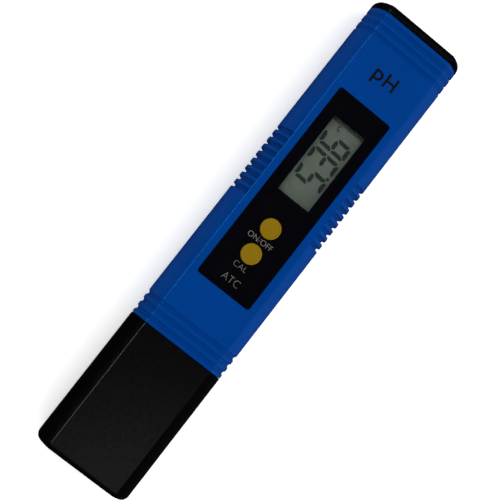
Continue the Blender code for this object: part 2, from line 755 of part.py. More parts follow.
def build_battery_cap():
    """The shallow domed end cap with its hollow plug, and the seal in the plug's groove."""
    rise = LENGTH - DOME_START
    dome = [(DOME_START + rise * out, DOME_INSET * over) for out, over in quarter_steps(DOME_STEPS)]
    groove_inset = PLUG_INSET + SEAL_GROOVE_DEPTH
    profile = [
        (PLUG_HOLLOW_END, PLUG_INSET + PLUG_WALL),
        (PLUG_END, PLUG_INSET + PLUG_WALL),
        (PLUG_END, PLUG_INSET + PLUG_TAPER_INSET),
        (PLUG_END + PLUG_TAPER, PLUG_INSET),
        (SEAL_GROOVE[0], PLUG_INSET),
        (SEAL_GROOVE[0], groove_inset),
        (SEAL_GROOVE[1], groove_inset),
        (SEAL_GROOVE[1], PLUG_INSET),
        (BATTERY_CAP_START, PLUG_INSET),
        (BATTERY_CAP_START, CAP_EDGE_INSET),
        (BATTERY_CAP_START + CAP_EDGE, 0),
        (DOME_START, 0),
        *dome,
    ]
    battery_cap = section_loft("battery_cap", profile, "black_plastic")
    move_origin(battery_cap, (0, station_y(BATTERY_CAP_START), MID_Z))
    seal("battery_cap_seal", sum(SEAL_GROOVE) / 2, SEAL_R)


def seal(name, station, radius):
    """An O-ring round the meter's cross-section, just clear of the wall that it seals against."""
    inset = WALL + SEAT_GAP + radius
    profile = []
    for i in range(RING_SIDES):
        a = 2 * math.pi * i / RING_SIDES
        profile.append((station + radius * math.sin(a), inset - radius * math.cos(a)))
    section_loft(name, profile, "rubber", closed=True)


# ---- probe ----------------------------------------------------------------------------------


def build_probe_mount():
    """The plug that closes the case's lower end and carries the electrode, the sensor and the cap."""
    ring_half = O_RING_R + RING_GROOVE_GAP
    groove_inset = PLUG_INSET + RING_GROOVE_DEPTH
    profile = [(MOUNT_START, PLUG_INSET + MOUNT_TAPER), (MOUNT_START + MOUNT_TAPER, PLUG_INSET)]
    for centre in (CAP_RING_STATION, CASE_RING_STATION):
        profile += [
            (centre - ring_half, PLUG_INSET),
            (centre - ring_half, groove_inset),
            (centre + ring_half, groove_inset),
            (centre + ring_half, PLUG_INSET),
        ]
    profile.append((MOUNT_END, PLUG_INSET))
    mount = section_loft("probe_mount", profile, "black_plastic")
    start = MOUNT_START - PAST
    bores = {
        "guard": (GUARD_R, GUARD_END + SEAT_GAP, 0.0),
        "tube": (TUBE_R, MOUNT_END + PAST, 0.0),
        "sensor": (SENSOR_R, MOUNT_END + PAST, SENSOR_X),
    }
    for label, (radius, stop, x) in bores.items():
        bore_profile = [(start, radius + BORE_GAP), (stop, radius + BORE_GAP)]
        cut(mount, turned_y(f"{label}_bore_tool", bore_profile, "black_plastic", x))
    seal("cap_o_ring", CAP_RING_STATION, O_RING_R)
    seal("case_o_ring", CASE_RING_STATION, O_RING_R)


def build_guard():
    """The guard round the bulb, cut by two crossing slots that let the sample in."""
    profile = [
        (GUARD_START, GUARD_BORE_R),
        (GUARD_START, GUARD_R - GUARD_EDGE),
        (GUARD_START + GUARD_EDGE, GUARD_R),
        (GUARD_END, GUARD_R),
        (GUARD_END, GUARD_BORE_R),
    ]
    guard = turned_y("electrode_guard", profile, "black_plastic", sides=32, closed=True)
    wide = GUARD_R + PAST + GUARD_EDGE
    span = (GUARD_START - PAST, GUARD_SLOT_END)
    for label, half_width, half_height in (
        ("flat", wide, GUARD_SLOT_HALF),
        ("upright", GUARD_SLOT_HALF, wide),
    ):
        heights = (MID_Z - half_height, MID_Z + half_height)
        cut(guard, block(f"guard_slot_tool_{label}", half_width, span, heights, "black_plastic"))


def build_electrode():
    """The electrolyte tube with its porous junction, stopper and wires."""
    tube_profile = [
        (TUBE_START, TUBE_BORE_R),
        (TUBE_START, TUBE_R - TUBE_EDGE),
        (TUBE_START + TUBE_EDGE, TUBE_R),
        (TUBE_END, TUBE_R),
        (TUBE_END, TUBE_BORE_R),
    ]
    turned_y("electrode_tube", tube_profile, "epoxy_tube", closed=True)
    start = TUBE_START + JUNCTION_INSET
    end = start + JUNCTION_LENGTH
    inner, outer = STEM_R + SEAT_GAP, TUBE_BORE_R - SEAT_GAP
    ring_profile = [(start, inner), (start, outer), (end, outer), (end, inner)]
    turned_y("reference_junction", ring_profile, "porous_ceramic", closed=True)
    stopper_start = TUBE_END - STOPPER_DEPTH
    stopper_profile = [
        (stopper_start, outer),
        (TUBE_END + SEAT_GAP, outer),
        (TUBE_END + SEAT_GAP, TUBE_R),
        (TUBE_END + STOPPER_PROUD, TUBE_R - STOPPER_EDGE),
    ]
    turned_y("electrode_stopper", stopper_profile, "rubber")
    wire_end = stopper_start - SEAT_GAP
    measuring = [(BULB_STATION, WIRE_R), (wire_end, WIRE_R)]
    turned_y("measuring_wire", measuring, "silver_wire", 0, 8)
    reference = [(end + REFERENCE_WIRE_GAP, WIRE_R), (wire_end, WIRE_R)]
    turned_y("reference_wire", reference, "silver_wire", REFERENCE_WIRE_X, 8)


def bulb_profile(bulb_radius, stem_radius):
    """(station, radius) from the bulb's tip to the place where it meets its stem."""
    neck = math.asin(stem_radius / bulb_radius)
    points = []
    for i in range(1, BULB_STEPS + 1):
        a = math.pi - (math.pi - neck) * i / BULB_STEPS
        points.append((BULB_STATION + bulb_radius * math.cos(a), bulb_radius * math.sin(a)))
    return points


def build_glass():
    """The thin glass bulb on its stem, one wall thick and open at the top."""
    outside = bulb_profile(BULB_R, STEM_R)
    inside = bulb_profile(BULB_R - BULB_WALL, STEM_BORE_R)
    profile = [*inside, (STEM_END, STEM_BORE_R), (STEM_END, STEM_R), *reversed(outside)]
    turned_y("glass_electrode", profile, "probe_glass", sides=16)


def build_sensor():
    """The temperature sensor's closed sheath and the bead at its tip."""
    bore = SENSOR_R - SENSOR_WALL
    shoulder = SENSOR_START + SENSOR_NOSE
    tip_share, slope_share = SENSOR_NOSE_SHARES
    profile = [
        (SENSOR_START + SENSOR_FLOOR, bore * SENSOR_FLOOR_SHARE),
        (shoulder, bore),
        (SENSOR_END, bore),
        (SENSOR_END, SENSOR_R),
        (shoulder, SENSOR_R),
        (SENSOR_START + SENSOR_NOSE_SLOPE, SENSOR_R * slope_share),
        (SENSOR_START, SENSOR_R * tip_share),
    ]
    turned_y("temperature_sensor", profile, "steel", SENSOR_X, 16)
    rings = []
    for i in range(1, BEAD_STEPS):
        a = math.pi * i / BEAD_STEPS
        rings.append((BEAD_STATION - BEAD_HALF_LENGTH * math.cos(a), BEAD_R * math.sin(a)))
    turned_y("thermistor_bead", rings, "chip_epoxy", SENSOR_X, 12)


def build_probe_cap():
    """The push-on cap: a hollow of the meter's own cross-section with a rounded closed end."""
    end = [(CAP_END_ROUND, 0.0)]
    for out, over in quarter_steps(CAP_END_STEPS):
        end.append((CAP_END_ROUND * (1 - out), CAP_END_INSET * over))
    profile = [
        (CAP_FLOOR, WALL + CAP_FLOOR_ROUND),
        (CAP_FLOOR + CAP_FLOOR_ROUND, WALL),
        (CAP_MOUTH, WALL),
        (CAP_MOUTH, CAP_EDGE_INSET),
        (CAP_MOUTH - CAP_EDGE, 0),
        *end,
    ]
    probe_cap = section_loft("probe_cap", profile, "black_plastic")
    move_origin(probe_cap, (0, station_y(CAP_MOUTH), MID_Z))
    sponge_profile = [(SPONGE_START, SPONGE_START_INSET), (SPONGE_END, SPONGE_END_INSET)]
    section_loft("storage_sponge", sponge_profile, "sponge")


# ---- leads ----------------------------------------------------------------------------------


def battery_route(side, under):
    """A battery lead's route from the holder to the board, on one side of the meter."""
    x = side * 5 * MM
    return [
        (x, HOLDER_START - CLEARANCE, MID_Z - 2 * MM),
        (x, HOLDER_START - 2.5 * MM, MID_Z - 2.4 * MM),
        (x - side * 0.6 * MM, HOLDER_START - 5.5 * MM, MID_Z - 2.2 * MM),
        (x - side * MM, HOLDER_START - 9 * MM, under - 0.9 * MM),
    ]


def build_leads():
    """The wires between the probe, the batteries and the board's underside, as (x, station, z)."""
    under = BOARD_TOP - BOARD_THICKNESS - SEAT_GAP
    stopper_end = TUBE_END + STOPPER_PROUD
    electrode_route = [
        (0, stopper_end + 0.2 * MM, MID_Z),
        (0, stopper_end + 3 * MM, MID_Z - 0.9 * MM),
        (-0.5 * MM, stopper_end + 6.5 * MM, MID_Z - 2.6 * MM),
        (-1.2 * MM, stopper_end + 10.5 * MM, under - 1.2 * MM),
    ]
    thermistor_route = [
        (SENSOR_X, SENSOR_END + CLEARANCE, MID_Z),
        (SENSOR_X - 0.8 * MM, SENSOR_END + 2.4 * MM, MID_Z - 1.6 * MM),
        (SENSOR_X - 3 * MM, SENSOR_END + 5.5 * MM, MID_Z - 3 * MM),
        (SENSOR_X - 4.5 * MM, SENSOR_END + 9 * MM, under - MM),
    ]
    leads = {
        "electrode_lead": (electrode_route, ELECTRODE_LEAD_R, "black_wire"),
        "thermistor_lead": (thermistor_route, LEAD_R, "red_wire"),
        "battery_lead_positive": (battery_route(-1, under), LEAD_R, "red_wire"),
        "battery_lead_negative": (battery_route(1, under), LEAD_R, "black_wire"),
    }
    for name, (route, radius, slot) in leads.items():
        wire(name, [(x, station_y(s), z) for x, s, z in route], radius, slot)


clear_scene()
build_front_case()
build_rear_case()
build_overlay()
build_window()
build_display()
build_buttons()
build_board()
build_batteries()
build_battery_cap()
build_probe_mount()
build_guard()
build_electrode()
build_glass()
build_sensor()
build_probe_cap()
build_leads()
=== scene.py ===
"""Looks of the pocket pH meter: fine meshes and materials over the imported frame.

Metres in the frame's own axes: +Y from the probe cap to the battery cap, +Z out of the display. A
"station" is a distance along the meter from the tip of the probe cap.
"""

import math

import bmesh
import bpy
from mathutils import Matrix, Vector


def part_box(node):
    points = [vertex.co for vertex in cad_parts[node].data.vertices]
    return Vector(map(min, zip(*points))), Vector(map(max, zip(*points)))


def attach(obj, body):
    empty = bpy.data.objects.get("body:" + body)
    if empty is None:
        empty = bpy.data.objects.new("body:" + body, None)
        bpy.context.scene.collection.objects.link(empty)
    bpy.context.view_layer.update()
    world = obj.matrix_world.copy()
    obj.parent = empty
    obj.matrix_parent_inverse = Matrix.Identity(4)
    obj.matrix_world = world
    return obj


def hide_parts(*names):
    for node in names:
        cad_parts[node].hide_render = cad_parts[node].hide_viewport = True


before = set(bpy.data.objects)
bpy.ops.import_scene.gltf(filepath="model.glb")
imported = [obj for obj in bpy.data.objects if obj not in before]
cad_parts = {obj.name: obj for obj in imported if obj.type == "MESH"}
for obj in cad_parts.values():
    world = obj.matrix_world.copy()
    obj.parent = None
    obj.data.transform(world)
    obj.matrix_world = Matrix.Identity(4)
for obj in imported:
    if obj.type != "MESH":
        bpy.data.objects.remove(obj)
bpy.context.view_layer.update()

MM = 0.001
METER = "meter"
PROBE_CAP = "probe_cap_body"
BATTERY_CAP = "battery_cap_body"
KEYS = {"power": "power_key", "calibrate": "calibrate_key"}

# ---- places and sizes taken from the frame --------------------------------------------------

TIP_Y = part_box("probe_cap")[0].y
WIDTH = 2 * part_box("probe_cap")[1].x
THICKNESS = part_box("probe_cap")[1].z
MID_Z = THICKNESS / 2


def station_of(y):
    return y - TIP_Y


def station_y(station):
    return TIP_Y + station


class Box:
    """A CAD node's box, with its two ends and its middle given as stations."""

    def __init__(self, node):
        self.low, self.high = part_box(node)
        self.heights = (self.low.z, self.high.z)
        self.start = station_of(self.low.y)
        self.end = station_of(self.high.y)
        self.station = station_of((self.low.y + self.high.y) / 2)
        self.x = (self.low.x + self.high.x) / 2
        self.width = self.high.x - self.low.x
        self.radius = self.width / 2


CASE_START = Box("front_case").start
CASE_END = Box("front_case").end
CAP_MOUTH = CASE_START - 0.05 * MM
CAP_PLUG_END = Box("battery_cap").start
LENGTH = Box("battery_cap").end

# ---- sizes of what the frame only has in outline --------------------------------------------

LAND_WIDTH = 22.5 * MM
WALL = 2.0 * MM
CREASE_R = 0.55 * MM
SUPPORT = 0.12 * MM
SIDE_BULGE = (WIDTH - LAND_WIDTH) / 2
SIDE_R = (SIDE_BULGE**2 + MID_Z**2) / (2 * SIDE_BULGE)
SIDE_X = WIDTH / 2 - SIDE_R
SIDE_STEPS = 36
CREASE_STEPS = 5

LOWER_GROOVES = [44.75 * MM, 47.3 * MM, 49.85 * MM]
UPPER_GROOVES = [145.6 * MM, 148.25 * MM, 150.7 * MM]
GROOVE_HALF = 0.7 * MM
GROOVE_DEPTH = 0.5 * MM
GRIP_COUNT = 9
GRIP_FIRST = 88.4 * MM
GRIP_PITCH = 2.53 * MM
GRIP_HALF = 0.75 * MM
GRIP_DEPTH = 0.9 * MM
GRIP_END_GAP = 0.1 * MM

SEAM_HALF_GAP = 0.1 * MM
TONGUE_HEIGHT = 1.2 * MM
TONGUE_INSET = 1.3 * MM
TONGUE_GAP = 0.2 * MM

OVERLAY_RECESS = 0.35 * MM
OVERLAY_CORNER = 0.9 * MM
OPENING_CORNER = 0.3 * MM
FIT_GAP = 0.1 * MM
WINDOW_HALF = 5.4 * MM
WINDOW_SPAN = (94.3 * MM, 120.3 * MM)
WINDOW_CORNER = 0.25 * MM
POST_R = 2.1 * MM
POST_FOOT_R = 2.0 * MM
POST_ROOT_R = 2.5 * MM
POST_BORE_R = 0.95 * MM
BUTTON_R = 3.0 * MM
CASE_KEY_GAP = 0.2 * MM
FILM_KEY_GAP = 0.15 * MM
BUTTON_STATIONS = {"power": 84.1 * MM, "calibrate": 75.3 * MM}


# ---- materials ------------------------------------------------------------------------------

BLUE = (0.0, 0.0342, 0.200)
BLUE_GLINT = (0.06, 0.4, 1.0)
PANEL = (0.060, 0.077, 0.060)


class Tree:
    """A node tree, with the few node shapes that the materials and the studio are built from."""

    def __init__(self, tree, place):
        self.tree = tree
        self.place = self.add("ShaderNodeTexCoord").outputs[place]

    def add(self, kind):
        return self.tree.nodes.new(kind)

    def link(self, source, target):
        self.tree.links.new(source, target)

    def node(self, kind, vector=None, **values):
        """A node with its sockets set by name, underscores for spaces, and its Vector linked."""
        node = self.add(kind)
        set_sockets(node, values)
        if vector:
            self.link(vector, node.inputs["Vector"])
        return node

    def noise(self, scale, detail, stretch=None, rough=0.5):
        place = self.place
        if stretch:
            place = self.node("ShaderNodeMapping", place, Scale=stretch).outputs["Vector"]
        sockets = {"Scale": scale, "Detail": detail, "Roughness": rough}
        return self.node("ShaderNodeTexNoise", place, **sockets).outputs["Fac"]

    def ramp(self, value, stops):
        """Maps a 0 to 1 value to colours, given as two (position, colour) pairs."""
        node = self.add("ShaderNodeValToRGB")
        for element, (position, color) in zip(node.color_ramp.elements, stops):
            element.position = position
            element.color = (*color, 1)
        self.link(value, node.inputs["Fac"])
        return node.outputs["Color"]

    def span(self, value, low, high, from_low=0.3, from_high=0.7):
        """Maps a value to a range of numbers."""
        node = self.node("ShaderNodeMapRange", From_Min=from_low, From_Max=from_high, To_Min=low, To_Max=high)
        self.link(value, node.inputs["Value"])
        return node.outputs["Result"]

    def math(self, operation, first, second):
        node = self.add("ShaderNodeMath")
        node.operation = operation
        for socket, value in zip(node.inputs, (first, second)):
            if isinstance(value, (int, float)):
                socket.default_value = value
            else:
                self.link(value, socket)
        return node.outputs["Value"]

    def split(self, vector):
        """The X, Y and Z parts of a vector."""
        return self.node("ShaderNodeSeparateXYZ", vector).outputs

    def mixed(self, amount, first, second):
        """The first colour, giving way to the second as the amount goes to 1."""
        node = self.add("ShaderNodeMixRGB")
        for name, socket in {"Fac": amount, "Color1": first, "Color2": second}.items():
            self.link(socket, node.inputs[name])
        return node.outputs["Color"]


class Nodes(Tree):
    """A new material's node tree, round its one shader."""

    def __init__(self, name):
        self.material = bpy.data.materials.new(name)
        self.material.use_nodes = True
        super().__init__(self.material.node_tree, "Object")
        self.shader = self.tree.nodes["Principled BSDF"]

    def set(self, **values):
        """Sets the shader's own sockets, by their names with underscores for spaces."""
        set_sockets(self.shader, values)

    def color(self, socket):
        self.link(socket, self.shader.inputs["Base Color"])

    def roughness(self, socket):
        self.link(socket, self.shader.inputs["Roughness"])

    def bump(self, height, strength, distance):
        node = self.node("ShaderNodeBump", Strength=strength, Distance=distance)
        self.link(height, node.inputs["Height"])
        self.link(node.outputs["Normal"], self.shader.inputs["Normal"])

    def give_way(self, amount, other):
        """Mixes another shader in, which takes over as the amount goes to 1."""
        mix = self.add("ShaderNodeMixShader")
        self.link(amount, mix.inputs["Fac"])
        self.link(self.shader.outputs["BSDF"], mix.inputs[1])
        self.link(other.outputs["BSDF"], mix.inputs[2])
        self.link(mix.outputs["Shader"], self.tree.nodes["Material Output"].inputs["Surface"])


def set_sockets(node, values):
    for name, value in values.items():
        node.inputs[name.replace("_", " ")].default_value = value


def greys(low, high, start=0.0, stop=1.0):
    """A ramp's two stops, both grey."""
    return [(start, (low, low, low)), (stop, (high, high, high))]


def shades(color, spread):
    """A colour a little darker and a little lighter, for a gentle variation."""
    dark = tuple(c * (1 - spread) for c in color)
    light = tuple(min(1.0, c * (1 + spread)) for c in color)
    return [(0.3, dark), (0.7, light)]


def moulded(name, color, rough, spread=0.08, grain=2600, specular=0.4, glint=(1.0, 1.0, 1.0)):
    """Injection-moulded plastic: flow clouding, a fine mould grain and faint handling marks."""
    m = Nodes(name)
    m.color(m.ramp(m.noise(90, 4), shades(color, spread)))
    finish(m, rough, grain)
    m.set(Specular_IOR_Level=specular, Specular_Tint=(*glint, 1))
    return m.material


def finish(m, rough, grain):
    """A moulding's surface: clouded and worn in places, with a fine grain."""
    marks = m.noise(900, 2, stretch=(1.0, 0.3, 1.0))
    clouds = m.noise(160, 3)
    worn = m.math("ADD", m.span(clouds, -0.02, 0.02), m.span(marks, -0.02, 0.02))
    m.roughness(m.math("ADD", worn, rough))
    m.bump(m.noise(grain, 2), 0.35, 0.02 * MM)


def brushed(name, color, rough, stretch, scale=1800):
    """Metal with a drawn or turned grain, which runs along the axis of the smallest scale."""
    m = Nodes(name)
    grain = m.noise(scale, 4, stretch=stretch)
    m.color(m.ramp(grain, shades(color, 0.14)))
    m.roughness(m.span(grain, rough - 0.08, rough + 0.1))
    m.bump(grain, 0.25, 0.01 * MM)
    m.set(Metallic=1.0)
    return m.material


def blue_shell():
    return moulded("blue_shell", BLUE, 0.24, spread=0.05, specular=0.20, glint=BLUE_GLINT)


def black_cap_plastic():
    """Black plastic whose flat faces carry a painted sheen, grey towards the probe cap's end and to the
    right.
    """
    m = Nodes("black_cap_plastic")
    parts = m.split(m.place)
    near_tip = m.span(parts["Y"], 1.0, 0.42, TIP_Y + 2 * MM, TIP_Y + 42 * MM)
    facing = m.split(m.add("ShaderNodeNewGeometry").outputs["Normal"])["Z"]
    flat = m.span(m.math("ABSOLUTE", facing, 0.0), 0.0, 1.0, 0.93, 0.995)
    brighter_to_right = m.span(parts["X"], 0.7, 1.3, -9 * MM, 9 * MM)
    speckle = m.span(m.noise(2600, 3, rough=0.7), 0.55, 1.45, 0.35, 0.65)
    # Painted sheen: the flat faces are painted grey, lighter towards the probe cap's end and to the right,
    # flecked by the speckle.
    painted_sheen = m.math("MULTIPLY", m.math("POWER", near_tip, 2.2), flat)
    painted_sheen = m.math("MULTIPLY", m.math("MULTIPLY", painted_sheen, brighter_to_right), speckle)
    m.color(m.ramp(painted_sheen, [(0.0, (0.0007, 0.0007, 0.0011)), (1.0, (0.0088, 0.0088, 0.0096))]))
    finish(m, 0.28, 2600)
    m.set(Specular_IOR_Level=0.085)
    return m.material


def film():
    """The printed film's smooth black face."""
    m = Nodes("overlay_film")
    m.color(m.ramp(m.noise(120, 2), shades((0.0006, 0.0007, 0.0022), 0.2)))
    m.roughness(m.span(m.noise(700, 3, stretch=(1, 0.1, 1)), 0.26, 0.30))
    m.bump(m.noise(4200, 1), 0.15, 0.006 * MM)
    m.set(Specular_IOR_Level=0.07)
    return m.material


def key_plastic():
    return moulded("key_plastic", (0.210, 0.125, 0.001), 0.42, grain=3600, specular=0.04)


def ink(name, color, rough=0.5):
    """Screen-printed ink, slightly uneven in cover."""
    m = Nodes(name)
    m.color(m.ramp(m.noise(3000, 3), shades(color, 0.15)))
    m.roughness(m.span(m.noise(1500, 2), rough - 0.08, rough + 0.08))
    m.bump(m.noise(5000, 2), 0.3, 0.005 * MM)
    m.set(Specular_IOR_Level=0.1)
    return m.material


def display_panel():
    """The display's grey-green ground, with a fine grain and a painted shadow of the window's top edge, a
    darker band at its top end.
    """
    m = Nodes("display_panel")
    grain = m.noise(5200, 2)
    clouds = m.noise(140, 2)
    both = m.math("ADD", m.math("MULTIPLY", grain, 0.55), m.math("MULTIPLY", clouds, 0.45))
    ground = m.ramp(both, shades(PANEL, 0.10))
    # Painted shadow: under the window's top edge the ground gives way to this darker copy of itself.
    frame_shadow = m.ramp(both, shades(tuple(c * 0.3 for c in PANEL), 0.10))
    edge = station_y(WINDOW_SPAN[1])
    shade = m.span(m.split(m.place)["Y"], 0.0, 1.0, edge - 1.1 * MM, edge - 0.6 * MM)
    m.color(m.mixed(shade, ground, frame_shadow))
    m.roughness(m.span(grain, 0.4, 0.5))
    m.bump(grain, 0.2, 0.01 * MM)
    m.set(Specular_IOR_Level=0.3)
    return m.material


def clear(name, tint, rough, ior):
    """A clear moulding or glass, a little uneven in its polish, that casts no shadow."""
    m = Nodes(name)
    m.color(m.ramp(m.noise(200, 2), shades(tint, 0.02)))
    m.roughness(m.span(m.noise(600, 2), rough, rough + 0.02))
    m.set(Transmission_Weight=1.0, IOR=ior)
    rays = m.add("ShaderNodeLightPath").outputs
    soft = m.math("MAXIMUM", rays["Is Shadow Ray"], rays["Is Diffuse Ray"])
    m.give_way(soft, m.add("ShaderNodeBsdfTransparent"))
    return m.material


def rubber():
    m = Nodes("nitrile_rubber")
    m.color(m.ramp(m.noise(500, 3), shades((0.014, 0.014, 0.015), 0.3)))
    m.roughness(m.span(m.noise(900, 3), 0.55, 0.75))
    m.bump(m.noise(3000, 3), 0.4, 0.02 * MM)
    m.set(Specular_IOR_Level=0.35)
    return m.material


def zebra_strip():
    """Silicone with conductive layers, dark and pale in turn along the meter."""
    m = Nodes("zebra_strip")
    wave = m.node("ShaderNodeTexWave", m.place, Scale=900, Distortion=0.4)
    wave.bands_direction = "Y"
    m.color(m.ramp(wave.outputs["Fac"], [(0.42, (0.05, 0.04, 0.045)), (0.58, (0.55, 0.33, 0.38))]))
    m.roughness(m.span(m.noise(900, 2), 0.6, 0.75))
    m.bump(wave.outputs["Fac"], 0.3, 0.02 * MM)
    return m.material


def solder_mask():
    """Green mask over copper, whose tracks show as a grid of paler raised lines."""
    m = Nodes("solder_mask")
    brick = m.node("ShaderNodeTexBrick", m.place, Scale=160, Mortar_Size=0.09, Bias=0.1)
    colors = {"Color1": (0.010, 0.10, 0.032, 1), "Color2": (0.013, 0.12, 0.040, 1)}
    colors["Mortar"] = (0.03, 0.22, 0.075, 1)
    set_sockets(brick, colors)
    m.color(brick.outputs["Color"])
    m.roughness(m.span(m.noise(800, 2), 0.28, 0.4))
    m.bump(brick.outputs["Fac"], 0.3, 0.03 * MM)
    return m.material


def sponge_foam():
    m = Nodes("sponge_foam")
    pores = m.node("ShaderNodeTexVoronoi", m.place, Scale=2200).outputs["Distance"]
    # Painted shade: the foam is darker in the pits of its pores, where the bump sinks.
    m.color(m.ramp(pores, [(0.1, (0.16, 0.11, 0.05)), (0.5, (0.62, 0.50, 0.26))]))
    m.roughness(m.span(m.noise(900, 3), 0.85, 0.98))
    m.bump(pores, 0.9, 0.3 * MM)
    m.set(Sheen_Weight=0.15)
    return m.material


def ceramic():
    m = Nodes("porous_ceramic")
    grain = m.noise(4200, 4)
    m.color(m.ramp(grain, [(0.35, (0.55, 0.52, 0.46)), (0.65, (0.84, 0.82, 0.77))]))
    m.roughness(m.span(grain, 0.8, 0.95))
    m.bump(grain, 0.6, 0.05 * MM)
    return m.material


def silver():
    """Silver wire, dulled brown in patches by its chloride."""
    m = Nodes("silver_wire")
    grain = m.noise(2400, 3)
    m.color(m.ramp(grain, [(0.35, (0.34, 0.30, 0.27)), (0.6, (0.78, 0.77, 0.74))]))
    m.roughness(m.span(grain, 0.25, 0.5))
    m.bump(grain, 0.3, 0.01 * MM)
    m.set(Metallic=1.0)
    return m.material


def tube_plastic():
    material = moulded("electrode_body", (0.46, 0.50, 0.49), 0.3, spread=0.05)
    shader = material.node_tree.nodes["Principled BSDF"]
    set_sockets(shader, {"Subsurface Weight": 0.2, "Subsurface Scale": MM})
    return material


MATERIAL = {
    "blue_shell": blue_shell(),
    "black_cap": black_cap_plastic(),
    "inner_black": moulded("inner_black_plastic", (0.016, 0.016, 0.017), 0.42, spread=0.2),
    "overlay_film": film(),
    "key_plastic": key_plastic(),
    "pale_ink": ink("pale_ink", (0.20, 0.185, 0.15)),
    "dark_ink": ink("dark_ink", (0.0015, 0.002, 0.005), 0.4),
    "digit": ink("digit_crystal", (0.0105, 0.0175, 0.016), 0.35),
    "faint_digit": ink("faint_digit_crystal", (0.030, 0.038, 0.031), 0.35),
    "display_panel": display_panel(),
    "clear_pane": clear("clear_acrylic", (0.96, 0.97, 0.96), 0.02, 1.49),
    "cell_glass": clear("display_glass", (0.80, 0.86, 0.80), 0.03, 1.52),
    "probe_glass": clear("probe_glass", (0.93, 0.97, 0.96), 0.0, 1.5),
    "reflector": moulded("reflector_film", (0.33, 0.35, 0.30), 0.5, grain=5200),
    "white_plastic": moulded("white_plastic", (0.70, 0.70, 0.67), 0.5, spread=0.04),
    "solder_mask": solder_mask(),
    "chip_epoxy": moulded("chip_epoxy", (0.018, 0.018, 0.019), 0.55, spread=0.3, grain=6000),
    "steel": brushed("stainless_steel", (0.58, 0.57, 0.55), 0.28, (1, 1, 0.08)),
    "drawn_steel": brushed("drawn_steel", (0.60, 0.59, 0.57), 0.26, (1, 0.05, 1)),
    "nickel": brushed("nickel_plate", (0.66, 0.64, 0.60), 0.22, (1, 1, 0.2), 900),
    "brass": brushed("sprung_brass", (0.72, 0.55, 0.26), 0.3, (1, 0.06, 1)),
    "silver": silver(),
    "rubber": rubber(),
    "zebra": zebra_strip(),
    "tube": tube_plastic(),
    "ceramic": ceramic(),
    "red_wire": moulded("red_insulation", (0.42, 0.016, 0.014), 0.4),
    "black_wire": moulded("black_insulation", (0.015, 0.015, 0.016), 0.4, spread=0.2),
    "sponge": sponge_foam(),
}


# ---- mesh helpers ---------------------------------------------------------------------------

SHARP_ANGLE = math.radians(28)
CORNER_STEPS = 6
LEAST_CORNER = 0.02 * MM
PLATE_EDGE = 0.08 * MM
TOOL_EDGE = 0.001 * MM


def add_object(name, data):
    obj = bpy.data.objects.new(name, data)
    bpy.context.scene.collection.objects.link(obj)
    return obj


def finished_mesh(obj):
    """A new mesh of an object as its modifiers, or its curves, make it."""
    depsgraph = bpy.context.evaluated_depsgraph_get()
    return bpy.data.meshes.new_from_object(obj.evaluated_get(depsgraph))


def piece(name, bm, material):
    """An object from a bmesh, facing outwards, smooth apart from its sharp edges.

    The material is a name in MATERIAL, or None for a tool that cuts or joins.
    """
    bmesh.ops.recalc_face_normals(bm, faces=bm.faces)
    mesh = bpy.data.meshes.new(name)
    bm.to_mesh(mesh)
    bm.free()
    mesh.materials.append(MATERIAL.get(material))
    return smooth(add_object(name, mesh))


def smooth(obj):
    obj.data.shade_smooth()
    obj.data.set_sharp_from_angle(angle=SHARP_ANGLE)
    return obj


def show(obj, body, slot, *nodes):
    """Puts a piece in its body and hides the CAD nodes that it stands for; the slot is not used."""
    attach(obj, body)
    if nodes:
        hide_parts(*nodes)
    return obj


def bridge(bm, first, second):
    """Faces all the way round between two loops of vertices."""
    for i in range(len(first)):
        j = (i + 1) % len(first)
        bm.faces.new((first[i], first[j], second[j], second[i]))


def loft(name, rings, material, closed=False):
    """A solid through rings of points of one length. A closed loft returns to its first ring."""
    bm = bmesh.new()
    loops = [[bm.verts.new(point) for point in ring] for ring in rings]
    for first, second in zip(loops, loops[1:]):
        bridge(bm, first, second)
    if closed:
        bridge(bm, loops[-1], loops[0])
    else:
        bm.faces.new(loops[0])
        bm.faces.new(loops[-1])
    return piece(name, bm, material)


def arc(cx, cy, radius, start, stop, steps):
    """Points on an arc, with its angles in degrees."""
    points = []
    for i in range(steps + 1):
        a = math.radians(start + (stop - start) * i / steps)
        points.append((cx + radius * math.cos(a), cy + radius * math.sin(a)))
    return points


def circle(steps):
    return [(math.cos(2 * math.pi * i / steps), math.sin(2 * math.pi * i / steps)) for i in range(steps)]


def turned_y(name, profile, material, x=0.0, sides=64, closed=False):
    """A piece turned about a line along the meter at mid depth, from (station, radius) pairs."""
    rings = [[(x + r * c, station_y(s), MID_Z + r * d) for c, d in circle(sides)] for s, r in profile]
    return loft(name, rings, material, closed)


def turned_z(name, profile, material, x, station, sides=64):
    """A piece turned about an upright line, from (height, radius) pairs."""
    y = station_y(station)
    rings = [[(x + r * c, y + r * d, z) for c, d in circle(sides)] for z, r in profile]
    return loft(name, rings, material)


def rounded_outline(width, span, corner, x):
    """The (x, y) outline of a rectangle with round corners, between two stations."""
    low, high = station_y(span[0]) + corner, station_y(span[1]) - corner
    side = width / 2 - corner
    points = []
    corners = [(side, high, 0), (-side, high, 90), (-side, low, 180), (side, low, 270)]
    for cx, cy, start in corners:
        points += arc(x + cx, cy, corner, start, start + 90, CORNER_STEPS)
    return points


def inset_outline(width, span, corner, inset, x):
    """The same rounded rectangle, drawn in from its edge."""
    inner = (span[0] + inset, span[1] - inset)
    return rounded_outline(width - 2 * inset, inner, max(corner - inset, LEAST_CORNER), x)


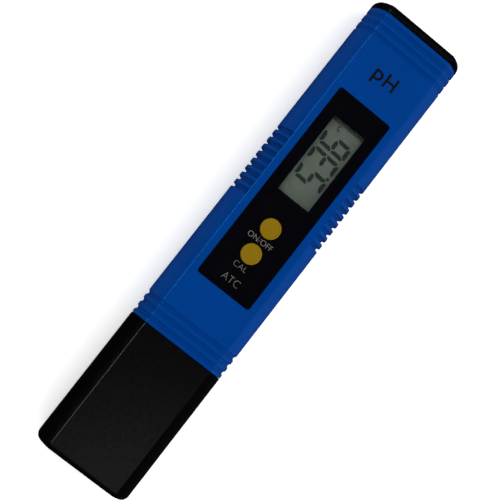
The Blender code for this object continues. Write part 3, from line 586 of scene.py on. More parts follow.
def plate(name, width, span, corner, heights, material, edge=PLATE_EDGE, x=0.0):
    """A rounded plate whose top and bottom edges are broken by a small chamfer."""
    low, high = heights
    levels = [(low, edge), (low + edge, 0), (high - edge, 0), (high, edge)]
    rings = []
    for z, inset in levels:
        rings.append([(px, py, z) for px, py in inset_outline(width, span, corner, inset, x)])
    return loft(name, rings, material)


def box_plate(name, node, material, corner=0.2 * MM, edge=PLATE_EDGE):
    """A rounded plate that fills a CAD node's box."""
    box = Box(node)
    return plate(name, box.width, (box.start, box.end), corner, box.heights, material, edge, box.x)


def apply_modifiers(obj):
    mesh = finished_mesh(obj)
    obj.modifiers.clear()
    obj.data = mesh


def boolean(target, operation, *tools):
    """Cuts the tools out of a piece, or adds them to it, and removes them."""
    for tool in tools:
        modifier = target.modifiers.new(operation, "BOOLEAN")
        modifier.operation = operation
        modifier.solver = "EXACT"
        modifier.object = tool
    apply_modifiers(target)
    for tool in tools:
        bpy.data.objects.remove(tool)
    smooth(target)


def cutter(name, width, span, corner, heights):
    """A rounded plate to cut with, whose edges are all but sharp."""
    return plate(name, width, span, corner, heights, None, TOOL_EDGE)


def pocket(name, node, corner, heights):
    """A cutter that is a little larger all round than a CAD node."""
    box = Box(node)
    return cutter(name, box.width + 2 * FIT_GAP, (box.start - FIT_GAP, box.end + FIT_GAP), corner, heights)


def key_bores(label, heights, radius):
    """A tool for each key's round hole."""
    bore = [(z, radius) for z in heights]
    return [turned_z(f"{key}_{label}", bore, None, 0, s) for key, s in BUTTON_STATIONS.items()]


# ---- the meter's cross-section --------------------------------------------------------------


def crease_angle(inset):
    return math.asin((MID_Z - inset) / (SIDE_R - inset))


def side_path(inset, low, high, steps):
    """(x, z, normal angle) up the right-hand side between two heights above mid depth."""
    radius = SIDE_R - inset
    start, stop = math.asin(low / radius), math.asin(high / radius)
    angles = [start + (stop - start) * i / steps for i in range(steps + 1)]
    return [(SIDE_X + radius * math.cos(a), MID_Z + radius * math.sin(a), a) for a in angles]


def skin_path(inset, low, crease=CREASE_R, steps=SIDE_STEPS):
    """side_path carried on round the crease and a little way onto the front land."""
    land = MID_Z - inset
    rise = land - crease
    reach = SIDE_R - inset - crease
    centre_x = SIDE_X + math.sqrt(reach**2 - rise**2)
    turn = math.atan2(rise, centre_x - SIDE_X)
    path = side_path(inset, low, (SIDE_R - inset) * math.sin(turn), steps)
    for i in range(1, CREASE_STEPS + 1):
        a = turn + (math.pi / 2 - turn) * i / CREASE_STEPS
        path.append((centre_x + crease * math.cos(a), MID_Z + rise + crease * math.sin(a), a))
    path.append((centre_x - SUPPORT, MID_Z + land, math.pi / 2))
    return path


def whole_ring(station, inset, crease, steps=SIDE_STEPS // 2):
    """The whole cross-section as a closed ring of points."""
    upper = [(x, z) for x, z, _ in skin_path(inset, 0, crease, steps)]
    lower = [(x, 2 * MID_Z - z) for x, z in reversed(upper[1:])]
    right = lower + upper
    outline = right + [(-x, z) for x, z in reversed(right)]
    return [(x, station_y(station), z) for x, z in outline]


def section_loft(name, profile, material, crease=CREASE_R):
    """A piece with the meter's cross-section, from (station, inset) pairs."""
    return loft(name, [whole_ring(s, i, crease) for s, i in profile], material)


def scoop(distance, half_width, depth):
    """How deep a round-bottomed groove is at a distance from its middle line."""
    radius = (half_width**2 + depth**2) / (2 * depth)
    if abs(distance) >= half_width:
        return 0.0
    return math.sqrt(radius**2 - distance**2) - (radius - depth)


def across(centre, half_width, steps):
    """Stations across a groove, closest together at its edges."""
    return [centre + half_width * math.sin(math.pi * (i / steps - 0.5)) for i in range(steps + 1)]


# ---- case -----------------------------------------------------------------------------------

GRIP_CENTRES = [GRIP_FIRST + i * GRIP_PITCH for i in range(GRIP_COUNT)]
CASE_EDGE = 0.3 * MM
GROOVE_MARGIN = 0.05 * MM


def case_stations():
    """Every station where the case needs a section: its round ends, its grooves and its grips."""
    edges = [CASE_EDGE * (1 - math.cos(math.radians(a))) for a in (0, 30, 60, 90)]
    stations = [CASE_START + edge for edge in edges] + [CASE_END - edge for edge in edges]
    grooves = [(centre, GROOVE_HALF, 10) for centre in LOWER_GROOVES + UPPER_GROOVES]
    grooves += [(centre, GRIP_HALF, 12) for centre in GRIP_CENTRES]
    for centre, half, steps in grooves:
        stations += across(centre, half, steps)
        stations += [centre - half - GROOVE_MARGIN, centre + half + GROOVE_MARGIN]
    return sorted(stations)


def ring_inset(station):
    """How far the whole skin is drawn in at a station: ring grooves and the rounded ends."""
    from_end = min(station - CASE_START, CASE_END - station)
    if from_end < CASE_EDGE:
        return CASE_EDGE - math.sqrt(max(0.0, CASE_EDGE**2 - (CASE_EDGE - from_end) ** 2))
    return sum(scoop(station - c, GROOVE_HALF, GROOVE_DEPTH) for c in LOWER_GROOVES + UPPER_GROOVES)


def grip_sink(station, angle):
    """How deep the finger grips are at a station, at an angle round the side."""
    nearest = min(GRIP_CENTRES, key=lambda c: abs(c - station))
    end = SIDE_R * crease_angle(0) - GRIP_HALF - GRIP_END_GAP
    past_end = max(0.0, SIDE_R * abs(angle) - end)
    return scoop(math.hypot(station - nearest, past_end), GRIP_HALF, GRIP_DEPTH)


def shell_ring(station, inner):
    """A half section's outline at a station: the skin, then the inside path of (x, z)."""
    outer = []
    path = skin_path(ring_inset(station), SEAM_HALF_GAP)
    for i, (x, z, angle) in enumerate(path):
        on_side = i <= SIDE_STEPS
        sink = grip_sink(station, angle) if on_side else 0.0
        outer.append((x - sink * math.cos(angle), z - sink * math.sin(angle)))
    outline = outer + [(-x, z) for x, z in reversed(outer)]
    return outline + [(-x, z) for x, z in inner] + list(reversed(inner))


def half_shell(name, inner, is_rear):
    rings = []
    for station in case_stations():
        outline = shell_ring(station, inner)
        y = station_y(station)
        rings.append([(x, y, 2 * MID_Z - z if is_rear else z) for x, z in outline])
    return loft(name, rings, "blue_shell")


def inner_path(rabbet_inset, rabbet_height):
    """The inside of a half section: its seam step, then the wall's curve up to the land."""
    step = side_path(rabbet_inset, SEAM_HALF_GAP, rabbet_height, 1)
    wall = side_path(WALL, rabbet_height, MID_Z - WALL, 12)
    return [(x, z) for x, z, _ in step + wall]


def build_front_case():
    rabbet = TONGUE_HEIGHT + TONGUE_GAP
    case = half_shell("front_shell", inner_path(TONGUE_INSET - TONGUE_GAP, rabbet), False)
    build_bosses(case)
    floor = THICKNESS - OVERLAY_RECESS
    through = (THICKNESS - WALL - MM, THICKNESS + MM)
    recess = pocket("recess_tool", "front_overlay", OVERLAY_CORNER, (floor, floor + 2 * MM))
    opening = pocket("opening_tool", "display_window", OPENING_CORNER, through)
    bores = key_bores("bore_tool", through, BUTTON_R + CASE_KEY_GAP)
    boolean(case, "DIFFERENCE", recess, opening, *bores)
    show(case, METER, "blue_plastic", "front_case")


def build_bosses(case):
    """The four screw posts under the front land, each with a bore for its screw."""
    step = 0.1 * MM
    foot = Box("circuit_board").high.z + step
    roof = THICKNESS - WALL
    post = [(foot, POST_FOOT_R), (foot + step, POST_R), (roof - 0.5 * MM, POST_R)]
    post += [(roof - step, POST_ROOT_R), (roof + 0.3 * MM, POST_ROOT_R)]
    bore = [(foot - MM, POST_BORE_R), (roof - 0.4 * MM, POST_BORE_R)]
    posts, bores = [], []
    for number in range(1, 5):
        screw = Box(f"board_screw_{number}")
        posts.append(turned_z(f"post_tool_{number}", post, None, screw.x, screw.station, 32))
        bores.append(turned_z(f"post_bore_tool_{number}", bore, None, screw.x, screw.station, 24))
    boolean(case, "UNION", *posts)
    boolean(case, "DIFFERENCE", *bores)


def build_rear_case():
    case = half_shell("rear_shell", rear_inner_path(), True)
    show(case, METER, "blue_plastic", "rear_case")


def rear_inner_path():
    """The rear shell's inside, drawn upside down as its skin is: the tongue rises past the seam."""
    tongue = side_path(TONGUE_INSET, SEAM_HALF_GAP, -TONGUE_HEIGHT, 1)
    wall = side_path(WALL, -TONGUE_HEIGHT, MID_Z - WALL, 14)
    return [(x, z) for x, z, _ in tongue + wall]


# ---- front panel ----------------------------------------------------------------------------

INK_HEIGHT = 0.025 * MM

# Each label's text, the box that it fills and its weight. The box is in millimetres: the left and
# right sides, then the lower and upper stations.
FILM_LABELS = {
    "label_power": ("ON/OFF", (-4.35, 3.85, 78.95, 80.55), -0.021),
    "label_calibrate": ("CAL", (-2.38, 1.92, 70.0, 71.6), -0.03),
    "label_compensation": ("ATC", (-2.8, 2.8, 65.3, 67.35), -0.03),
}
CASE_LABELS = {
    "label_scale_first": ("p", (-4.15, -1.15, 133.95, 138.4), 0.012),
    "label_scale_second": ("H", (-0.3, 3.3, 135.1, 139.4), 0.012),
}


def lettering(labels, z, material, slot):
    """Raised print, each text fitted to its label's box."""
    for name, (text, edges, weight) in labels.items():
        mesh = text_mesh(name, text, weight)
        points = [v.co for v in mesh.vertices]
        low = Vector([min(p[i] for p in points) for i in range(3)])
        high = Vector([max(p[i] for p in points) for i in range(3)])
        left, right, bottom, top = [edge * MM for edge in edges]
        scale = ((right - left) / (high.x - low.x), (top - bottom) / (high.y - low.y))
        for point in points:
            x = left + (point.x - low.x) * scale[0]
            y = station_y(bottom) + (point.y - low.y) * scale[1]
            point.xyz = (x, y, z + INK_HEIGHT * (point.z > 0))
        mesh.materials.clear()
        mesh.materials.append(MATERIAL[material])
        show(add_object(name, mesh), METER, slot)


def text_mesh(name, text, weight):
    """A text as a mesh, one unit thick. The weight thickens or thins its strokes."""
    curve = bpy.data.curves.new(name, "FONT")
    curve.body = text
    curve.extrude = 0.5
    curve.offset = weight
    curve.resolution_u = 8
    obj = add_object(name, curve)
    mesh = finished_mesh(obj)
    bpy.data.objects.remove(obj)
    return mesh


def build_overlay():
    film = Box("front_overlay")
    overlay = box_plate("front_film", "front_overlay", "overlay_film", OVERLAY_CORNER)
    through = (film.low.z - MM, film.high.z + MM)
    window = cutter("film_window_tool", 2 * WINDOW_HALF, WINDOW_SPAN, WINDOW_CORNER, through)
    bores = key_bores("film_tool", through, BUTTON_R + FILM_KEY_GAP)
    boolean(overlay, "DIFFERENCE", window, *bores)
    show(overlay, METER, "overlay_film", "front_overlay")
    lettering(FILM_LABELS, film.high.z, "pale_ink", "overlay_film")
    lettering(CASE_LABELS, THICKNESS, "dark_ink", "blue_plastic")


# Segments of a digit that is DIGIT_WIDTH by DIGIT_HEIGHT between its segments' middle lines.
DIGIT_WIDTH = 3.55 * MM
DIGIT_HEIGHT = 8.25 * MM
DIGIT_STROKE = 1.2 * MM
DIGIT_GAP = 0.27 * MM
DIGIT_TURN = math.radians(1.2)
DIGIT_SLANT = 0.08
DIGIT_STATIONS = [102.45 * MM, 108.2 * MM, 113.9 * MM]
DIGIT_X = 0.05 * MM
DIGITS = ["acdfg", "abcdg", "acdefg"]
DIGIT_THICKNESS = 0.01 * MM
DIGIT_LIFT = 0.01 * MM
DOT_R = 0.48 * MM
UNIT_STATION = 118.3 * MM
UNIT_V = 1.7 * MM
UNIT_R = 0.68 * MM
UNIT_STROKE = 0.42 * MM
UNIT_STRETCH = 1.45
SEGMENTS = {
    "a": ((0, 1), (1, 1)),
    "b": ((1, 1), (1, 0.5)),
    "c": ((1, 0.5), (1, 0)),
    "d": ((0, 0), (1, 0)),
    "e": ((0, 0), (0, 0.5)),
    "f": ((0, 0.5), (0, 1)),
    "g": ((0, 0.5), (1, 0.5)),
}


def segment_outline(name):
    """A segment's outline about its digit's middle: a bar with a mitre at each end."""
    (u0, v0), (u1, v1) = SEGMENTS[name]
    start = Vector(((u0 - 0.5) * DIGIT_WIDTH, (v0 - 0.5) * DIGIT_HEIGHT))
    end = Vector(((u1 - 0.5) * DIGIT_WIDTH, (v1 - 0.5) * DIGIT_HEIGHT))
    along = (end - start).normalized()
    side = Vector((-along.y, along.x))
    half = DIGIT_STROKE / 2
    start += along * DIGIT_GAP
    end -= along * DIGIT_GAP
    inward = -start if name != "g" else Vector((0, 0))
    if side.dot(inward) < 0:
        side = -side
    inner = [start + (along + side) * half, end + (side - along) * half]
    if name == "g":
        outer = [end - (along + side) * half, start + (along - side) * half]
        return [start, inner[0], inner[1], end, *outer]
    flare = half * 0.55
    outer = [end - side * half + along * flare * 0.2, start - side * half - along * flare * 0.2]
    return [inner[0], inner[1], end + along * flare * 0.4, outer[0], outer[1], start - along * flare * 0.4]


def display_place(u, v):
    """A point of the display (u along its reading line, v up its digits) in the frame's X and Y."""
    middle = DIGIT_STATIONS[1]
    x, y = DIGIT_X - v, u - middle + DIGIT_SLANT * v
    turned_x = x * math.cos(DIGIT_TURN) - y * math.sin(DIGIT_TURN)
    along = x * math.sin(DIGIT_TURN) + y * math.cos(DIGIT_TURN)
    return turned_x, station_y(middle) + along


def display_marks(name, outlines, z, material):
    """Thin flat marks on the display, from outlines of its own (u, v) points."""
    bm = bmesh.new()
    for outline in outlines:
        points = [display_place(u, v) for u, v in outline]
        bottom = [bm.verts.new((x, y, z)) for x, y in points]
        top = [bm.verts.new((x, y, z + DIGIT_THICKNESS)) for x, y in points]
        bm.faces.new(bottom)
        bm.faces.new(top)
        bridge(bm, bottom, top)
    show(piece(name, bm, material), METER, "lcd_glass")


def build_digits(z):
    """The reading 5.36 with its point, and a faint unit mark at the end of the line."""
    outlines = []
    for station, segments in zip(DIGIT_STATIONS, DIGITS):
        for segment in segments:
            outlines.append([(station + p.x, p.y) for p in segment_outline(segment)])
    dot_u = (DIGIT_STATIONS[0] + DIGIT_STATIONS[1]) / 2
    dot_v = -DIGIT_HEIGHT / 2
    outlines.append([(dot_u + DOT_R * c, dot_v + DOT_R * d) for c, d in circle(16)])
    display_marks("digits", outlines, z, "digit")
    rim = arc(0, 0, UNIT_R, -25, 235, 12) + arc(0, 0, UNIT_R - UNIT_STROKE, 235, -25, 12)
    mark = [(UNIT_STATION + u * UNIT_STRETCH, UNIT_V + v) for u, v in rim]
    display_marks("unit_mark", [mark], z, "faint_digit")


def build_display():
    panel = box_plate("display_panel", "lcd_front_polarizer", "display_panel")
    show(panel, METER, "lcd_glass", "lcd_front_polarizer")
    build_digits(Box("lcd_front_polarizer").high.z + DIGIT_LIFT)
    pane = box_plate("window_pane", "display_window", "clear_pane", WINDOW_CORNER)
    show(pane, METER, "clear_plastic", "display_window")


KEY_EDGE = 0.1 * MM
KEY_ROUND = 0.3 * MM
KEY_FLANGE = 0.8 * MM
KEY_DISH = 0.1 * MM
KEY_DOME = 0.08 * MM
DOME_SHARES = [0.8, 0.6, 0.4, 0.2, 0.05]


def build_keys():
    """Each key: a stem with a flange, and a slight dome inside a fine raised rim on its top."""
    for key, body in KEYS.items():
        box = Box(f"{key}_button")
        base, top = box.heights
        flange_top = base + KEY_FLANGE
        profile = [
            (base, box.radius - KEY_EDGE),
            (base + KEY_EDGE, box.radius),
            (flange_top - KEY_EDGE, box.radius),
            (flange_top, box.radius - KEY_EDGE),
            (flange_top, BUTTON_R + 0.01 * MM),
        ]
        profile += [(z, r) for r, z in arc(BUTTON_R - KEY_ROUND, top - KEY_ROUND, KEY_ROUND, 0, 90, 6)]
        profile += [(top - 0.02 * MM, BUTTON_R - 0.45 * MM), (top - KEY_DISH, BUTTON_R - 0.55 * MM)]
        for share in DOME_SHARES:
            height = top - KEY_DISH + KEY_DOME * (1 - share**2)
            profile.append((height, (BUTTON_R - 0.6 * MM) * share))
        cap = turned_z(f"{key}_key", profile, "key_plastic", 0, box.station, 72)
        show(cap, body, "yellow_plastic", f"{key}_button")


# ---- caps -----------------------------------------------------------------------------------

PLUG_INSET = WALL + 0.3 * MM
CAP_FLOOR = 3.0 * MM
CAP_FLOOR_ROUND = 0.6 * MM
CAP_END_ROUND = 2.2 * MM
CAP_END_INSET = 1.7 * MM
MOUTH_EDGE = [(0.0, 0.32 * MM), (0.08 * MM, 0.14 * MM), (0.26 * MM, 0.02 * MM), (0.4 * MM, 0.0)]
SEAL_GROOVE = (149.0 * MM, 150.6 * MM)
SEAL_GROOVE_DEPTH = MM
DOME_INSET = 1.3 * MM
SPONGE_INSET = WALL + 0.5 * MM
SPONGE_ENDS = [0.25 * MM, 0.05 * MM]
SPONGE_STEPS = 8
PORE_SIZE = 0.9 * MM
PORE_DEPTH = 0.3 * MM
RING_FILL = 0.98
RING_CREASE_R = 1.2 * MM


def quarter(start, rise, inset, steps):
    """(station, inset) pairs that round over from the skin at start to inset at start + rise."""
    pairs = []
    for i in range(1, steps + 1):
        a = math.pi / 2 * i / steps
        pairs.append((start + rise * math.sin(a), inset * (1 - math.cos(a))))
    return pairs


def build_probe_cap():
    floor = [(-s, WALL + i) for s, i in reversed(quarter(-CAP_FLOOR, CAP_FLOOR_ROUND, CAP_FLOOR_ROUND, 6))]
    skin = [(-s, i) for s, i in quarter(-CAP_END_ROUND, CAP_END_ROUND, CAP_END_INSET, 12)]
    profile = [
        *floor,
        (CAP_FLOOR, WALL),
        (CAP_MOUTH, WALL),
        *[(CAP_MOUTH - fall, inset) for fall, inset in MOUTH_EDGE],
        (CAP_END_ROUND + SUPPORT, 0),
        (CAP_END_ROUND, 0),
        *skin,
    ]
    cap = section_loft("probe_cap_shell", profile, "black_cap")
    show(cap, PROBE_CAP, "black_plastic", "probe_cap")


def build_sponge():
    """The damp foam in the cap's end, its faces pitted by its pores."""
    box = Box("storage_sponge")
    rings = []
    for i in range(SPONGE_STEPS + 1):
        station = box.start + (box.end - box.start) * i / SPONGE_STEPS
        from_end = min(i, SPONGE_STEPS - i)
        extra = SPONGE_ENDS[from_end] if from_end < len(SPONGE_ENDS) else 0.0
        rings.append(whole_ring(station, SPONGE_INSET + extra, MM, 30))
    foam = loft("soaking_sponge", rings, "sponge")
    remesh = foam.modifiers.new("even faces", "REMESH")
    remesh.mode = "VOXEL"
    remesh.voxel_size = 0.25 * MM
    pits = foam.modifiers.new("pores", "DISPLACE")
    texture = bpy.data.textures.new("foam_pores", "VORONOI")
    texture.noise_scale = PORE_SIZE
    pits.texture = texture
    pits.texture_coords = "LOCAL"
    pits.mid_level = 1.0
    pits.strength = PORE_DEPTH
    apply_modifiers(foam)
    foam.data.shade_smooth()
    show(foam, PROBE_CAP, "sponge", "storage_sponge")


def build_battery_cap():
    """A shallow dome on a hollow plug, which carries the seal in a groove."""
    start = CASE_END + 0.2 * MM
    dome = start + 0.5 * MM
    hollow = PLUG_INSET + 1.8 * MM
    floor = PLUG_INSET + SEAL_GROOVE_DEPTH
    profile = [
        (start - 0.6 * MM, hollow + 0.5 * MM),
        (start - 0.75 * MM, hollow + 0.1 * MM),
        (start - 1.2 * MM, hollow),
        (CAP_PLUG_END + 0.15 * MM, hollow),
        (CAP_PLUG_END, hollow - 0.15 * MM),
        (CAP_PLUG_END, PLUG_INSET + 0.45 * MM),
        (CAP_PLUG_END + 0.25 * MM, PLUG_INSET + 0.12 * MM),
        (CAP_PLUG_END + 0.6 * MM, PLUG_INSET),
        (SEAL_GROOVE[0], PLUG_INSET),
        (SEAL_GROOVE[0], floor),
        (SEAL_GROOVE[1], floor),
        (SEAL_GROOVE[1], PLUG_INSET),
        (start, PLUG_INSET),
        (start, 0.2 * MM),
        (start + 0.06 * MM, 0.07 * MM),
        (start + 0.2 * MM, 0),
        (dome, 0),
        *quarter(dome, LENGTH - dome, DOME_INSET, 12),
    ]
    cap = section_loft("battery_cap_shell", profile, "black_cap")
    show(cap, BATTERY_CAP, "black_plastic", "battery_cap")
    build_ring("battery_cap_ring", "battery_cap_seal", BATTERY_CAP)


def build_ring(name, node, body):
    """A moulded rubber ring that follows the meter's cross-section, filling a CAD seal's box."""
    box = Box(node)
    radius = (box.high.y - box.low.y) / 2
    inset = THICKNESS - box.high.z + radius
    rings = []
    for c, d in circle(20):
        station = box.station + RING_FILL * radius * d
        rings.append(whole_ring(station, inset - RING_FILL * radius * c, RING_CREASE_R, 24))
    ring = loft(name, rings, "rubber", closed=True)
    show(ring, body, "rubber", node)


# ---- probe ----------------------------------------------------------------------------------

HOLDER_BORE_GAP = 0.15 * MM
HOLDER_CREASE_R = 0.8 * MM
RING_GAP = 0.1 * MM
RING_EDGE = 0.15 * MM
GUARD_BORE_R = 4.6 * MM
GUARD_LIP = 0.5 * MM
GUARD_EDGE = 0.15 * MM
GUARD_SLOT_HALF = 1.9 * MM
GUARD_SLOT_CORNER = GUARD_SLOT_HALF * 0.999
GUARD_SLOT_END = 18 * MM
GUARD_SLOT_REACH = 7 * MM
TUBE_BORE_R = 3.3 * MM
JUNCTION_BORE_R = 2.0 * MM
JUNCTION_EDGE = 0.12 * MM
BULB_WALL = 0.35 * MM
SHEATH_WALL = 0.3 * MM
TIP_ANGLE = 179.0


def build_probe_mount():
    """The holder in the case's end, with a groove for each ring and a bore for each part it holds."""
    holder = Box("probe_mount")
    start, end = holder.start, holder.end
    profile = [
        (start, PLUG_INSET + 0.75 * MM),
        (start + 0.1 * MM, PLUG_INSET + 0.5 * MM),
        (start + 0.35 * MM, PLUG_INSET + 0.15 * MM),
        (start + 0.7 * MM, PLUG_INSET),
    ]
    for node in ("cap_o_ring", "case_o_ring"):
        ring = Box(node)
        near, far = ring.start - RING_GAP, ring.end + RING_GAP
        floor = THICKNESS - ring.high.z + (ring.high.y - ring.low.y) + RING_GAP
        profile += [
            (near - RING_EDGE, PLUG_INSET),
            (near, PLUG_INSET + RING_EDGE),
            (near, floor),
            (far, floor),
            (far, PLUG_INSET + RING_EDGE),
            (far + RING_EDGE, PLUG_INSET),
        ]
    profile += [(end - 0.3 * MM, PLUG_INSET), (end, PLUG_INSET + 0.3 * MM)]
    mount = section_loft("probe_holder", profile, "inner_black", HOLDER_CREASE_R)
    guard_end = Box("electrode_guard").end + 0.1 * MM
    ends = {"electrode_guard": guard_end, "electrode_tube": end + MM, "temperature_sensor": end + MM}
    tools = []
    for node, far in ends.items():
        held = Box(node)
        bore = [(s, held.radius + HOLDER_BORE_GAP) for s in (start - MM, far)]
        tools.append(turned_y(f"{node}_bore_tool", bore, None, held.x))
    boolean(mount, "DIFFERENCE", *tools)
    show(mount, METER, "black_plastic", "probe_mount")
    build_ring("cap_seal_ring", "cap_o_ring", METER)
    build_ring("case_seal_ring", "case_o_ring", METER)


def build_guard():
    """The probe's guard: a tube with four round-ended slots that let the sample in."""
    box = Box("electrode_guard")
    start, end, outer = box.start, box.end, box.radius
    profile = [
        (start + GUARD_EDGE, GUARD_BORE_R),
        (start, GUARD_BORE_R + GUARD_EDGE),
        *arc(start + GUARD_LIP, outer - GUARD_LIP, GUARD_LIP, 180, 90, 6),
        (end, outer),
        (end, GUARD_BORE_R),
    ]
    guard = turned_y("probe_guard", profile, "inner_black", sides=96, closed=True)
    heights = (MID_Z - GUARD_SLOT_REACH, MID_Z + GUARD_SLOT_REACH)
    span = (start - 4 * MM, GUARD_SLOT_END)
    tools = []
    for turn in (0, 90):
        tool = cutter(f"slot_tool_{turn}", 2 * GUARD_SLOT_HALF, span, GUARD_SLOT_CORNER, heights)
        swing = Matrix.Translation((0, 0, MID_Z)) @ Matrix.Rotation(math.radians(turn), 4, "Y")
        tool.data.transform(swing @ Matrix.Translation((0, 0, -MID_Z)))
        tools.append(tool)
    boolean(guard, "DIFFERENCE", *tools)
    show(guard, METER, "black_plastic", "electrode_guard")


def build_electrode():
    """The electrode's hollow body and glass bulb, with the junction as a ring between them."""
    body = Box("electrode_tube")
    start, end, outer = body.start, body.end, body.radius
    profile = [
        (start + 0.1 * MM, TUBE_BORE_R),
        (start, TUBE_BORE_R + 0.1 * MM),
        (start, outer - 0.3 * MM),
        (start + 0.09 * MM, outer - 0.09 * MM),
        (start + 0.3 * MM, outer),
        (end - 0.2 * MM, outer),
        (end, outer - 0.2 * MM),
        (end, TUBE_BORE_R),
    ]
    tube = turned_y("electrode_body", profile, "tube", closed=True)
    show(tube, METER, "epoxy_tube", "electrode_tube")
    build_bulb()
    ring = Box("reference_junction")
    start, end, outer = ring.start, ring.end, ring.radius
    profile = [
        (start + JUNCTION_EDGE, JUNCTION_BORE_R),
        (start, JUNCTION_BORE_R + JUNCTION_EDGE),
        (start, outer - JUNCTION_EDGE),
        (start + JUNCTION_EDGE, outer),
        (end, outer),
        (end, JUNCTION_BORE_R),
    ]
    junction = turned_y("junction_ring", profile, "ceramic", closed=True)
    show(junction, METER, "porous_ceramic", "reference_junction")


def bulb_profile(centre, bulb, stem, neck, top):
    """(station, radius) from the bulb's tip, over its neck's fillet and up its stem."""
    reach = bulb + neck
    offset = math.sqrt(reach**2 - (stem + neck) ** 2)
    meet = math.degrees(math.atan2(stem + neck, offset))
    ball = arc(centre, 0, bulb, TIP_ANGLE, meet, 26)
    fillet = arc(centre + offset, stem + neck, neck, 180 + meet, 270, 8)
    return ball + fillet + [(top, stem)]


def build_bulb():
    box = Box("glass_electrode")
    bulb = box.radius
    centre = box.start + bulb
    outside = bulb_profile(centre, bulb, 1.9 * MM, 1.2 * MM, box.end)
    inside = bulb_profile(centre, bulb - BULB_WALL, 1.5 * MM, 1.6 * MM, box.end)
    profile = inside + list(reversed(outside))
    glass = turned_y("glass_bulb", profile, "probe_glass", sides=72)
    glass.data.shade_smooth()
    show(glass, METER, "probe_glass", "glass_electrode")


def build_sensor():
    """The sensor's drawn steel sheath, with its round closed tip."""
    box = Box("temperature_sensor")
    outer = box.radius
    bore = outer - SHEATH_WALL
    tip = arc(box.start + outer, 0, outer, TIP_ANGLE, 90, 12)
    hollow = arc(box.start + outer, 0, bore, 90, TIP_ANGLE, 8)
    profile = [*reversed(hollow), (box.end, bore), (box.end, outer), *reversed(tip)]
    sheath = turned_y("sensor_sheath", profile, "drawn_steel", box.x, sides=48)
    show(sheath, METER, "steel", "temperature_sensor")


# ---- batteries ------------------------------------------------------------------------------


def build_cells():
    """Each button cell: a can crimped over a gasket, with the smaller cup standing below it."""
    for side in ("left", "right"):
        box = Box(f"battery_cell_{side}")
        radius = box.radius
        base, top = box.heights
        cup = radius - 1.3 * MM
        profile = [
            (base, cup - 0.3 * MM),
            (base + 0.06 * MM, cup - 0.08 * MM),
            (base + 0.22 * MM, cup),
            (base + 0.22 * MM, cup + 0.35 * MM),
            (base + 0.32 * MM, cup + 0.55 * MM),
        ]
        crimp = arc(radius - 0.5 * MM, base + 0.8 * MM, 0.5 * MM, -70, 0, 8)
        rim = arc(radius - 0.3 * MM, top - 0.3 * MM, 0.3 * MM, 0, 90, 8)
        profile += [(z, r) for r, z in crimp + rim]
        profile += [(top - 0.03 * MM, radius - 0.6 * MM), (top - 0.03 * MM, radius * 0.4)]
        cell = turned_z(f"button_cell_{side}", profile, "nickel", box.x, box.station, 96)
        show(cell, METER, "steel", f"battery_cell_{side}")


def build_contacts():
    """Sprung strips, each a flat rounded plate that fills its CAD node's box."""
    for node in ("positive_contact", "negative_contact", "cell_bridge"):
        strip = box_plate(f"{node}_strip", node, "brass", 0.6 * MM, 0.05 * MM)
        show(strip, METER, "brass_plate", node)


# ---- pieces that keep their CAD shape -------------------------------------------------------

BOXES = {
    "lcd_front_glass": ("cell_glass", "lcd_glass"),
    "lcd_rear_glass": ("cell_glass", "lcd_glass"),
    "lcd_reflector": ("reflector", "reflector_film"),
    "zebra_strip_left": ("zebra", "zebra_rubber"),
    "zebra_strip_right": ("zebra", "zebra_rubber"),
    "controller_chip": ("chip_epoxy", "chip_epoxy"),
    "amplifier_chip": ("chip_epoxy", "chip_epoxy"),
    "memory_chip": ("chip_epoxy", "chip_epoxy"),
}

FINISHES = {
    "inner_black": ["battery_holder", "power_plunger", "calibrate_plunger"],
    "white_plastic": ["lcd_frame"],
    "solder_mask": ["circuit_board"],
    "chip_epoxy": ["thermistor_bead"],
    "steel": ["power_switch", "calibrate_switch"] + [f"board_screw_{i}" for i in range(1, 5)],
    "nickel": ["filter_capacitor", "quartz_crystal"],
    "silver": ["measuring_wire", "reference_wire"],
    "rubber": ["electrode_stopper"],
    "red_wire": ["battery_lead_positive", "thermistor_lead"],
    "black_wire": ["battery_lead_negative", "electrode_lead"],
}

WELD_REACH = 0.001 * MM
EDGE_BREAK = 0.06 * MM
EDGE_ANGLE = math.radians(50)


def build_plain_boxes():
    for node, (material, slot) in BOXES.items():
        show(box_plate(f"{node}_piece", node, material), METER, slot, node)


def finish_cad_nodes():
    """Puts the fine materials on the CAD nodes that stay, and breaks their edges."""
    for material, nodes in FINISHES.items():
        for node in nodes:
            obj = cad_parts[node]
            obj.data.materials.clear()
            obj.data.materials.append(MATERIAL[material])
            weld = obj.modifiers.new("join the faces", "WELD")
            weld.merge_threshold = WELD_REACH
            edge = obj.modifiers.new("break the edges", "BEVEL")
            edge.width = EDGE_BREAK
            edge.segments = 2
            edge.angle_limit = EDGE_ANGLE


# ---- stage ----------------------------------------------------------------------------------

CAMERA_DISTANCE = 340.0 * MM
CAMERA_TILT = -5.26
CAMERA_LEAN = 6.61
CAMERA_ROLL = -37.96
CAMERA_OFFSET = (0.585 * MM, 0.744 * MM)
CAMERA_LENS = 86.76
FLOOR_GLOW = 0.30
FLOOR_HALF = 6.0
FLOOR_Z = -0.05 * MM


def build_camera():
    """Looks down on the display from the probe's end and the left, with the meter lying across."""
    turn = Matrix.Rotation(math.radians(CAMERA_ROLL), 3, "Z")
    turn @= Matrix.Rotation(math.radians(CAMERA_TILT), 3, "X")
    turn @= Matrix.Rotation(math.radians(CAMERA_LEAN), 3, "Y")
    facing = turn.transposed()
    away = Vector((-CAMERA_OFFSET[0], -CAMERA_OFFSET[1], CAMERA_DISTANCE))
    data = bpy.data.cameras.new("camera")
    data.lens = CAMERA_LENS
    data.clip_start = 0.01
    camera = add_object("camera", data)
    camera.matrix_world = Matrix.Translation(Vector((0, 0, MID_Z)) + facing @ away) @ facing.to_4x4()
    bpy.context.scene.camera = camera


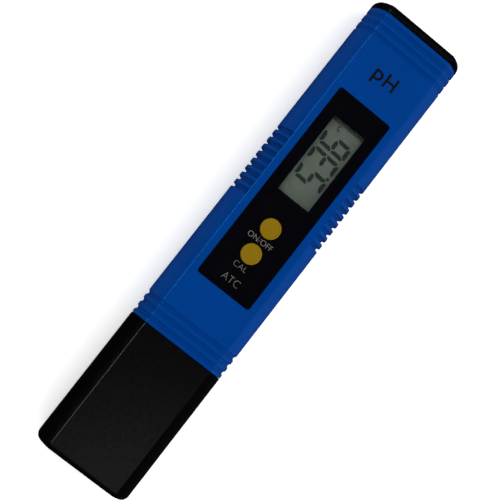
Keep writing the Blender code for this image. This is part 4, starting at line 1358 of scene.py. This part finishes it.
def pale_floor():
    """A pale table, lit a little from beneath, that shows dark in the meter's own reflections."""
    m = Nodes("pale_floor")
    m.color(m.ramp(m.noise(6, 2), greys(0.91, 0.94, 0.3, 0.7)))
    m.roughness(m.span(m.noise(40, 2), 0.85, 0.95))
    m.set(Specular_IOR_Level=0.1, Emission_Color=(1, 1, 1, 1), Emission_Strength=FLOOR_GLOW)
    reflected = m.add("ShaderNodeBsdfDiffuse")
    to_right = m.span(m.split(m.place)["X"], 0.0, 1.0, 20 * MM, 30 * MM)
    m.link(m.ramp(to_right, greys(0.012, 0.03)), reflected.inputs["Color"])
    m.give_way(m.add("ShaderNodeLightPath").outputs["Is Glossy Ray"], reflected)
    return m.material


def build_floor():
    MATERIAL["pale_floor"] = pale_floor()
    bm = bmesh.new()
    corners = [(-1, -1), (1, -1), (1, 1), (-1, 1)]
    bm.faces.new([bm.verts.new((x * FLOOR_HALF, y * FLOOR_HALF, FLOOR_Z)) for x, y in corners])
    piece("floor", bm, "pale_floor")


def softbox(name, place, size, watts):
    """A rectangular light that faces the meter, with the first side of its size level."""
    data = bpy.data.lights.new(name, "AREA")
    data.shape = "RECTANGLE"
    data.size, data.size_y = size
    data.energy = watts
    light = add_object(name, data)
    light.location = place
    light.rotation_euler = (-Vector(place)).to_track_quat("-Z", "Y").to_euler()
    return light


def build_lights():
    """A bright studio all round, soft boxes over both ends and a strip for the left crease."""
    softbox("right_top_light", (0.64, 0.62, 0.62), (0.5, 0.5), 1.5)
    softbox("right_tip_light", (0.64, -0.60, 0.62), (0.5, 0.5), 0.8)
    softbox("left_top_light", (-0.62, 0.64, 0.62), (0.5, 0.5), 0.3)
    softbox("crease_light", (-0.42, 0.06, 0.52), (0.70, 0.06), 9.0).visible_diffuse = False
    world = bpy.data.worlds.new("studio")
    world.use_nodes = True
    sky = Tree(world.node_tree, "Generated")
    to_right = sky.span(sky.split(sky.place)["X"], 0.0, 1.0, -1.0, 1.0)
    room = sky.ramp(to_right, greys(0.63, 1.58))
    glints = sky.ramp(to_right, greys(0.002, 0.03))
    seen = sky.mixed(sky.add("ShaderNodeLightPath").outputs["Is Glossy Ray"], room, glints)
    sky.link(seen, sky.tree.nodes["Background"].inputs["Color"])
    bpy.context.scene.world = world
    bpy.context.scene.view_settings.view_transform = "Standard"


build_front_case()
build_rear_case()
build_overlay()
build_display()
build_keys()
build_probe_cap()
build_sponge()
build_battery_cap()
build_probe_mount()
build_guard()
build_electrode()
build_sensor()
build_cells()
build_contacts()
build_plain_boxes()
finish_cad_nodes()
build_camera()
build_floor()
build_lights()
